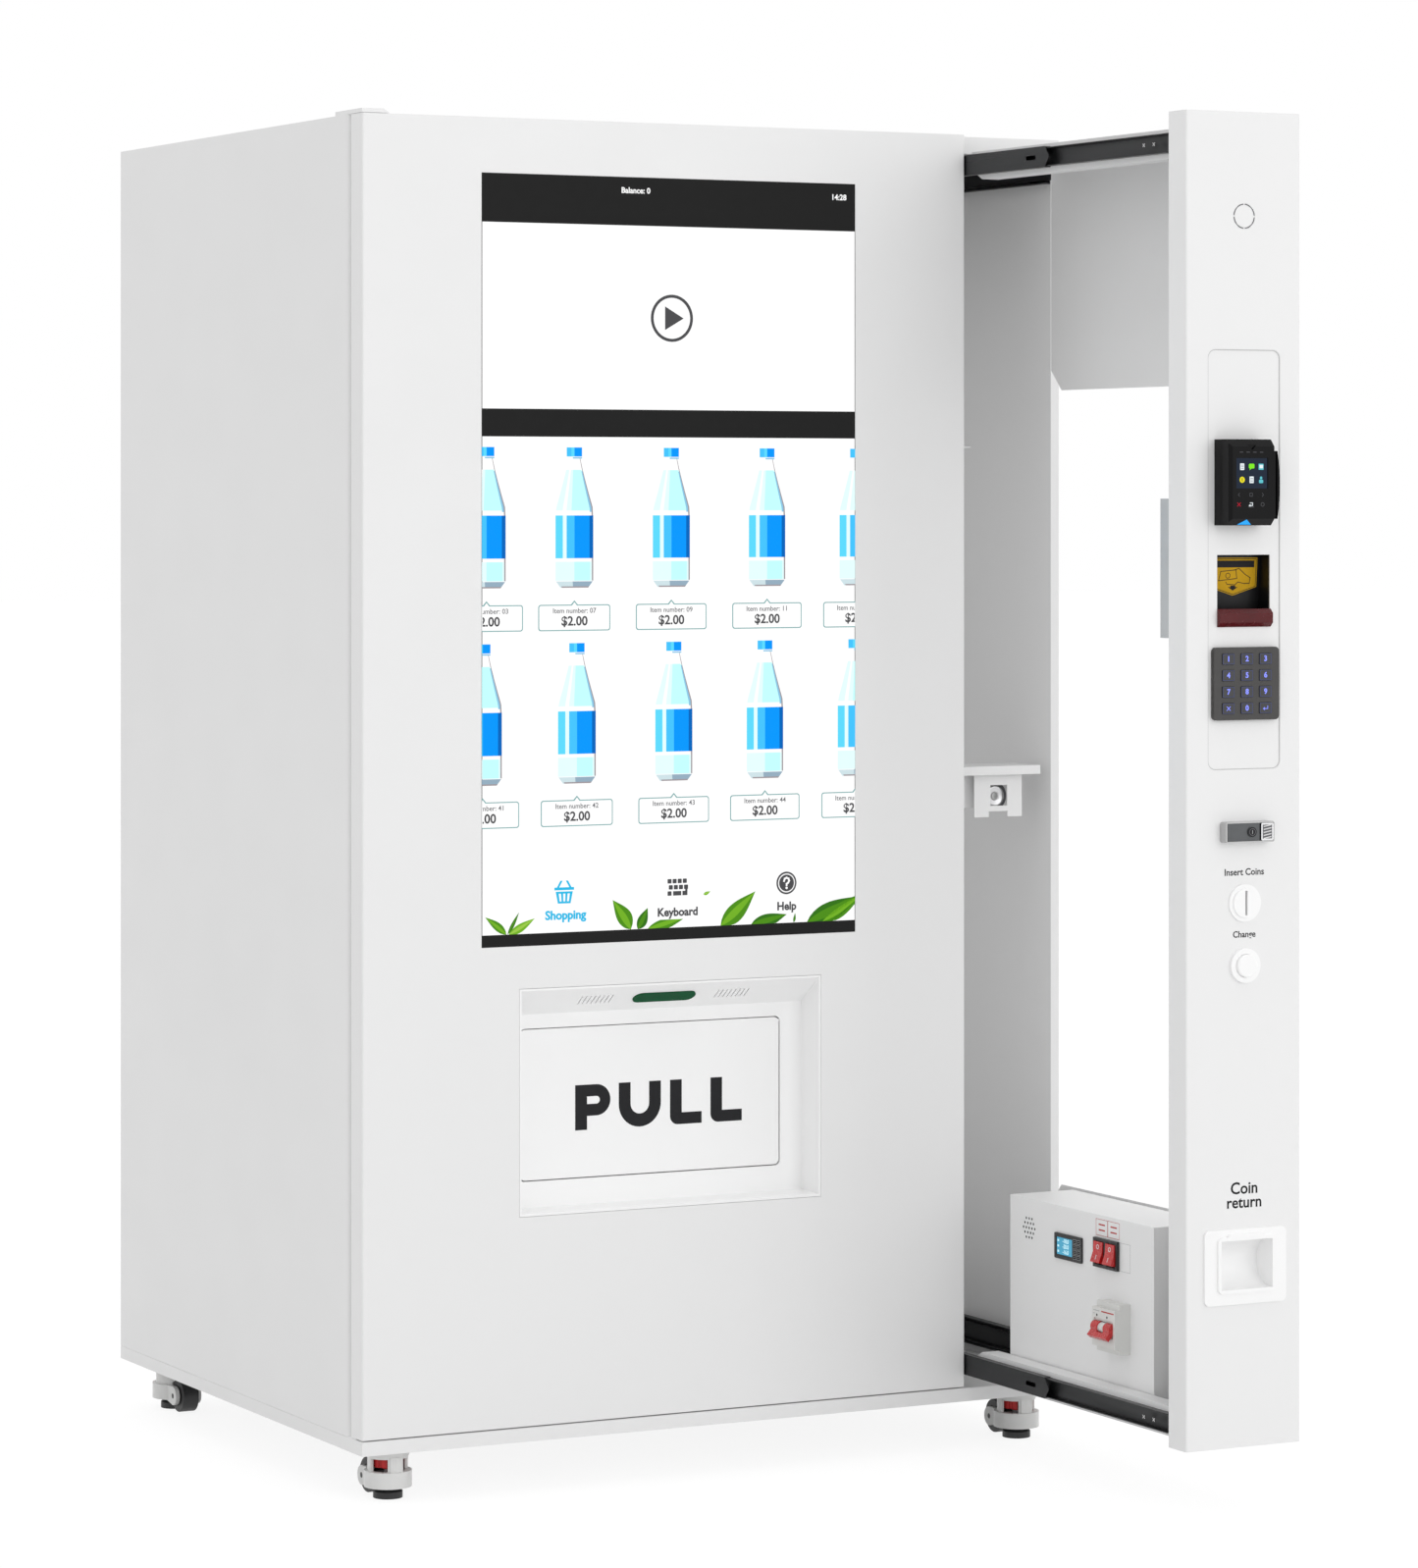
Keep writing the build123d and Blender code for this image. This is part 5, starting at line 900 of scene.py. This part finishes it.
def mark_lock():
    """Key slot in the lock's cylinder and ribs on its push button."""
    low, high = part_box("lock_lever")
    cylinder_inset = 13.0
    place = (high.x - cylinder_inset * MM, low.y, (low.z + high.z) / 2)
    board = Board("lock_cylinder", "lock_lever", place)
    board.disc("black_print_and_shade", 0, 0, 6.8)
    board.ring("grey_print_and_shade", 0, 0, 5.2, 0.8, 2)
    board.line("print_pale", [(0, -2.2), (0, 2.2)], 1.0, 2)
    board.done("dark_grey_plastic")
    low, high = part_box("lock_push_button")
    wide, tall = (high.x - low.x) / MM, (high.z - low.z) / MM
    ribs = Board("push_ribs", "lock_push", (low.x, low.y, low.z))
    ribs.rectangle("grey_print_and_shade", wide * 0.12, wide * 0.88, tall * 0.1, tall * 0.9, 1)
    for i in range(5):
        z = tall * (0.16 + 0.17 * i)
        ribs.line("white_print_and_highlight", [(wide * 0.22, z - 1.0), (wide * 0.78, z + 1.0)], 1.5, 2 + i % 2)
    ribs.done("bright_steel")


THERMOSTAT = (130.0, 39.0, 75.0, 37.0, 3.0)
THERMOSTAT_WINDOW = (5.5, 44.0, 26.0, 1.0)
BREAKER = (273.0, 117.0, 61.0, 71.0, 26.5)
SWITCH_FROM_BACK = 240.0
SWITCH_LENGTH = 32.0
SWITCH_MIDDLE_DROP = 53.0
SIGN_DROP = 6.0
SIGN_TALL = 23.0


def mark_control_box():
    """Thermostat, bare signs over the switches, a blank outline beside them and the breaker's marks."""
    back, drop, _, tall, proud = THERMOSTAT
    inset, window_long, window_tall, sunk = THERMOSTAT_WINDOW
    window_bottom = drop + (tall + window_tall) / 2
    screen = control_board("thermostat_display", back + inset, window_bottom, proud - sunk)
    screen.rectangle("lcd_blue", 0.6, window_long - 0.6, 0.6, window_tall - 0.6)
    for row, words in enumerate(("-18.0", "-20.0", "-16.0")):
        middle, half = window_tall * (0.80 - 0.30 * row), window_tall * 0.06
        screen.text("lcd_pale", words, window_long * 0.56, middle, 8.4, 2, bold=0.2)
        screen.rectangle("lcd_pale", 2.4, 6.6, middle - half, middle + half, 2)
    screen.done("screen_glass")
    keys_back = back + inset + window_long
    keys = control_board("thermostat_keys", keys_back, drop + tall, proud)
    for column in range(2):
        for row in range(4):
            x, y = 2.5 + 11.0 * column, 4.0 + 7.6 * row
            keys.rounded("print_pale", x, x + 9.5, y, y + 6.0, 1.2)
            keys.rounded("black_print_and_shade", x + 0.5, x + 9.0, y + 0.5, y + 5.5, 0.9, 2)
            keys.rectangle("print_pale", x + 3.2, x + 6.3, y + 2.7, y + 3.3, 3)
    keys.done("black_plastic")
    signs = control_board("switch_signs", SWITCH_FROM_BACK, SIGN_DROP + SIGN_TALL)
    for i in range(2):
        x0, x1, z1 = SWITCH_LENGTH * i + 1.0, SWITCH_LENGTH * (i + 1), SIGN_TALL
        signs.line("print_red", [(x0, 0), (x1, 0), (x1, z1), (x0, z1), (x0, 0)], 0.6)
        for z in (0.34, 0.68):
            signs.rectangle("print_red", x0 + 7.0, x1 - 7.0, z1 * z - 1.0, z1 * z + 1.0)
    signs.done("white_paint")
    blank = SWITCH_FROM_BACK + 2 * SWITCH_LENGTH
    outline = control_board("blank_outline", blank, SWITCH_MIDDLE_DROP + 21)
    outline.line("print_pale", [(1.5, 1), (29, 1), (29, 41), (1.5, 41), (1.5, 1)], 0.5)
    outline.done("white_paint")
    back, drop, _, tall, proud = BREAKER
    marks = control_board("breaker_marks", back, drop + tall, proud)
    marks.rectangle("print_red", 25, 58, 57.5, 59.2)
    marks.rectangle("print_pale", 4, 20, 57.8, 58.8)
    marks.disc("black_print_and_shade", 13, 52, 1.7)
    marks.disc("black_print_and_shade", 40, 51.5, 1.7)
    marks.rectangle("print_pale", 3, 9, 53.5, 54.2)
    marks.done("white_plastic")


ROCKER_TIP_DEG = 12.0
ROCKER_MIDDLE_OUT = 5.0
ROCKER_EDGE_OUT = 7.0
ROCKER_HALF = 15.0
ROCKER_PIVOT_OUT = 2.5


def mark_switches():
    """White signs on the two sloping halves of each rocker."""
    low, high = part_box("control_box")
    turn = Matrix.Rotation(math.radians(ROCKER_TIP_DEG), 3, "Y")
    for body in ("rocker_left", "rocker_right"):
        middle = middle_of(body)
        pivot = Vector((low.x - ROCKER_PIVOT_OUT * MM, middle.y, high.z - SWITCH_MIDDLE_DROP * MM))
        for half, sign in ((1, "O"), (-1, "I")):
            inner = turn @ Vector((-ROCKER_MIDDLE_OUT, 0, 0))
            outer = turn @ Vector((-ROCKER_EDGE_OUT, 0, half * ROCKER_HALF))
            place = pivot + (inner + outer) * 0.5 * MM
            board = Board(f"{body}_{sign}", body, place, right=(0, -1, 0), up=(outer - inner) * half)
            if sign == "I":
                board.line("white_print_and_highlight", [(0, -2.6), (0, 2.6)], 1.3)
            else:
                board.ring("white_print_and_highlight", 0, 0, 3.4, 1.1)
            board.done("red_plastic")


HUB_HALF = 7.8
HUB_RADIUS = 7.7
BREAKER_PIVOT_IN = 2.0


def build_breaker_hub():
    """White drum between the breaker's two toggles."""
    low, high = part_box("control_box")
    back, drop, long, tall, proud = BREAKER
    place = Vector((low.x - (proud - BREAKER_PIVOT_IN) * MM, high.y - (back + long / 2) * MM,
                    high.z - (drop + tall / 2) * MM))
    add_rod("breaker_hub", "breaker_lever", place, "Y", HUB_RADIUS, HUB_HALF, "breaker")


def add_rod(name, body, place, axis, radius_mm, half_mm, finish, sides=32):
    """A short round bar about a middle point."""
    mesh = bmesh.new()
    turn = {"X": Matrix.Rotation(math.pi / 2, 4, "Y"), "Y": Matrix.Rotation(math.pi / 2, 4, "X"),
            "Z": Matrix.Identity(4)}[axis]
    bmesh.ops.create_cone(mesh, cap_ends=True, segments=sides, radius1=radius_mm * MM, radius2=radius_mm * MM,
                          depth=2 * half_mm * MM, matrix=Matrix.Translation(place) @ turn)
    bmesh.ops.bevel(mesh, geom=[e for e in mesh.edges if len(e.link_faces) == 2
                                and e.calc_face_angle() > 1.0], offset=0.12 * half_mm * MM, segments=2,
                    affect="EDGES")
    for face in add_piece(name, mesh, finish, body).polygons:
        face.use_smooth = len(face.vertices) == 4


WORD_RIGHT = 13.5
WORD_DOWN = 8.0
LETTER_TALL = 65.0
LETTER_STROKE = 19.0
LETTER_BAR = 17.0
LETTER_LEFTS = (-135.5, -65.5, 17.5, 83.5)
P_WIDTH = 56.5
P_BOWL = 22.5
U_WIDTH = 68.0
L_WIDTH = 51.5
L_CORNER = 12.5


def mark_flap():
    """The word that says how the hatch's flap opens, in plain strokes."""
    low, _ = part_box("hatch_flap")
    middle = middle_of("hatch_flap")
    board = Board("flap_word", "flap", (middle.x + WORD_RIGHT * MM, low.y, middle.z - WORD_DOWN * MM))
    half, stroke = LETTER_TALL / 2, LETTER_STROKE
    x = LETTER_LEFTS[0]
    board.rectangle("black_print_and_shade", x, x + stroke, -half, half)
    bowl_x, bowl_y = x + P_WIDTH - P_BOWL, half - P_BOWL
    for y in (half - LETTER_BAR, half - 2 * P_BOWL):
        board.rectangle("black_print_and_shade", x + stroke, bowl_x, y, y + LETTER_BAR)
    board.band("black_print_and_shade", bowl_x, bowl_y, P_BOWL, LETTER_BAR, -90, 90)
    x = LETTER_LEFTS[1]
    bend = U_WIDTH / 2
    for side in (x, x + U_WIDTH - stroke):
        board.rectangle("black_print_and_shade", side, side + stroke, -half + bend, half)
    board.band("black_print_and_shade", x + bend, -half + bend, bend, stroke, 180, 360)
    for x in LETTER_LEFTS[2:]:
        board.rectangle("black_print_and_shade", x, x + stroke, -half + L_CORNER, half)
        board.rectangle("black_print_and_shade", x + L_CORNER, x + stroke, -half, -half + L_CORNER)
        board.rectangle("black_print_and_shade", x + stroke, x + L_WIDTH, -half, -half + LETTER_BAR)
        board.band("black_print_and_shade", x + L_CORNER, -half + L_CORNER, L_CORNER, L_CORNER - 0.1, 180, 270)
    board.done("liner_white")


PANEL_WIDTH = 119.0
PANEL_BOTTOM = 1034.0
PANEL_HEIGHT = 583.0
PANEL_SUNK = 1.5


def mark_column():
    """Plain words by the coin fittings, and a soft grey line of painted shade round the sunk panel's edge."""
    low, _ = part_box("column_fascia")
    middle = middle_of("coin_fittings")
    labels = Board("column_labels", "column", (middle.x, low.y, 0))
    for words, up, size in (("Insert Coins", 891.5, 13.2), ("Change", 805.0, 12.4), ("Coin", 452.5, 23.0),
                            ("return", 433.0, 22.5)):
        labels.text("black_print_and_shade", words, 0, up, size, bold=0.018 * size)
    labels.done("white_paint")
    # soft grey line of painted shade along the edge of the sunk panel
    panel = Board("panel_line", "column", (middle.x, low.y + PANEL_SUNK * MM, 0))
    x, z0, z1, corner = PANEL_WIDTH / 2 - 0.4, PANEL_BOTTOM + 0.4, PANEL_BOTTOM + PANEL_HEIGHT - 0.4, 12.0
    outer = rounded_points(-x, x, z0, z1, corner)
    inner = rounded_points(-x + 1.0, x - 1.0, z0 + 1.0, z1 - 1.0, corner - 1.0)
    for i in range(len(outer)):
        j = (i + 1) % len(outer)
        panel.area("edge_shade_grey", [outer[i], outer[j], inner[j], inner[i]])
    panel.done("white_paint")


RING_MARK_HEIGHT = 1.802
RING_MARK_RADIUS = 16.8
RING_MARK_GAP_DEG = 4.5


def mark_ring():
    """Four grey arcs on the ring that is cut in the column's front."""
    low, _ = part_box("column_fascia")
    coin = middle_of("coin_fittings")
    board = Board("ring_mark", "column", (coin.x, low.y, RING_MARK_HEIGHT))
    for start in (0, 90, 180, 270):
        first, last = start + RING_MARK_GAP_DEG, start + 90 - RING_MARK_GAP_DEG
        board.band("grey_print_and_shade", 0, 0, RING_MARK_RADIUS + 0.5, 1.3, first, last)
    board.done("white_paint")


STRIKER_BACK = 23.0
LATCH_CASE_BACK = 26.0
BOLT_LEFT = 4.0
BOLT_HEIGHT = 0.963
STRIKER_HOLE = 5.5
SHADE_RADIUS = 21.5
STRIKER_DISH = ((15.3, 0.0), (15.3, 0.7), (14.4, 1.1), (12.6, 1.0), (10.5, 0.5), (8.0, 0.25),
                (STRIKER_HOLE, 0.15), (STRIKER_HOLE, 0.0))


def add_turned(name, body, place, profile, finish, sides=64):
    """A ring turned about Y through a place; the profile is radius and distance forward in millimetres."""
    mesh = bmesh.new()
    rings = []
    turns = [(math.cos(a), math.sin(a)) for a in (2 * math.pi * i / sides for i in range(sides))]
    for radius, out in profile:
        points = [Vector((radius * c, -out, radius * s)) for c, s in turns]
        rings.append([mesh.verts.new(Vector(place) + point * MM) for point in points])
    for ring, following in zip(rings, rings[1:] + rings[:1]):
        for i in range(sides):
            j = (i + 1) % sides
            mesh.faces.new((ring[i], ring[j], following[j], following[i]))
    bmesh.ops.recalc_face_normals(mesh, faces=mesh.faces[:])
    for face in add_piece(name, mesh, finish, body).polygons:
        face.use_smooth = True


def build_striker():
    """Bright dished ring round the latch's hole, with a grey ring of painted shade round it where the case's
    inside lies in shade.
    """
    low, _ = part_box("latch_bracket")
    x = middle_of("lock_body").x - BOLT_LEFT * MM
    place = (x, low.y + STRIKER_BACK * MM, BOLT_HEIGHT)
    add_turned("striker_dish", "root", place, STRIKER_DISH, "steel")
    # grey ring of painted shade behind the dish
    shade = Board("latch_shade", "root", (x, low.y + LATCH_CASE_BACK * MM, BOLT_HEIGHT))
    shade.ring("grey_print_and_shade", 0, 0, SHADE_RADIUS, SHADE_RADIUS - STRIKER_DISH[0][0] - 0.2)
    shade.done("white_paint")


RAIL_HALF = 13.6
SCREW_FROM_FASCIA = (65.0, 39.0)
SCREW_RADIUS = 4.2
SCREW_PROUD = 0.2


def build_rail_screws():
    """Dark screws that hold the inner rails to the column's trays, each with a white cross of painted
    highlight on its head.
    """
    low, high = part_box("slide_inner_rails")
    _, fascia_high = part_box("column_fascia")
    for level, z in (("low", low.z + RAIL_HALF * MM), ("high", high.z - RAIL_HALF * MM)):
        for i, from_fascia in enumerate(SCREW_FROM_FASCIA):
            y = fascia_high.y + from_fascia * MM
            place = Vector((low.x, y, z))
            name = f"rail_screw_{level}_{i}"
            add_rod(name, "column", place, "X", SCREW_RADIUS, SCREW_PROUD, "cylinder")
            head = (low.x - SCREW_PROUD * MM, y, z)
            cross = Board(f"rail_screw_cross_{level}_{i}", "column", head, right=(0, -1, 0))
            # white cross of painted highlight on the dark screw head
            cross.line("white_print_and_highlight", [(-2.2, -1.8), (2.2, 1.8)], 1.1)
            cross.line("white_print_and_highlight", [(-2.2, 1.8), (2.2, -1.8)], 1.1)
            cross.done("bright_steel")


VENT_RADIUS = 1.95
VENT_PITCH = 8.0
VENT_RINGS = 2
VENT_PLACE = (54.0, 43.0)
VENT_SUNK = 0.35


def build_vent_shade():
    """Painted shade: black discs close behind the face in each vent hole of the control box, standing in for
    the shade deep in the holes.
    """
    back, drop = VENT_PLACE
    shade = control_board("vent_shade", back, drop, -VENT_SUNK)
    for row in range(-VENT_RINGS, VENT_RINGS + 1):
        count = 2 * VENT_RINGS + 1 - abs(row)
        for i in range(count):
            x = (i - (count - 1) / 2) * VENT_PITCH
            # each disc is painted shade inside one vent hole
            shade.disc("black_print_and_shade", x, row * VENT_PITCH * math.cos(math.radians(30)), VENT_RADIUS)
    shade.done("black_plastic")


# The scene
dress_nodes()
build_floor()
build_world()
build_lamps()
build_camera()
draw_screen()
mark_keys()
mark_reader()
mark_banknote_slot()
mark_lock()
mark_control_box()
mark_switches()
build_breaker_hub()
mark_flap()
mark_column()
mark_ring()
build_rail_screws()
build_striker()
build_vent_shade()

bpy.context.scene.view_settings.view_transform = "Standard"
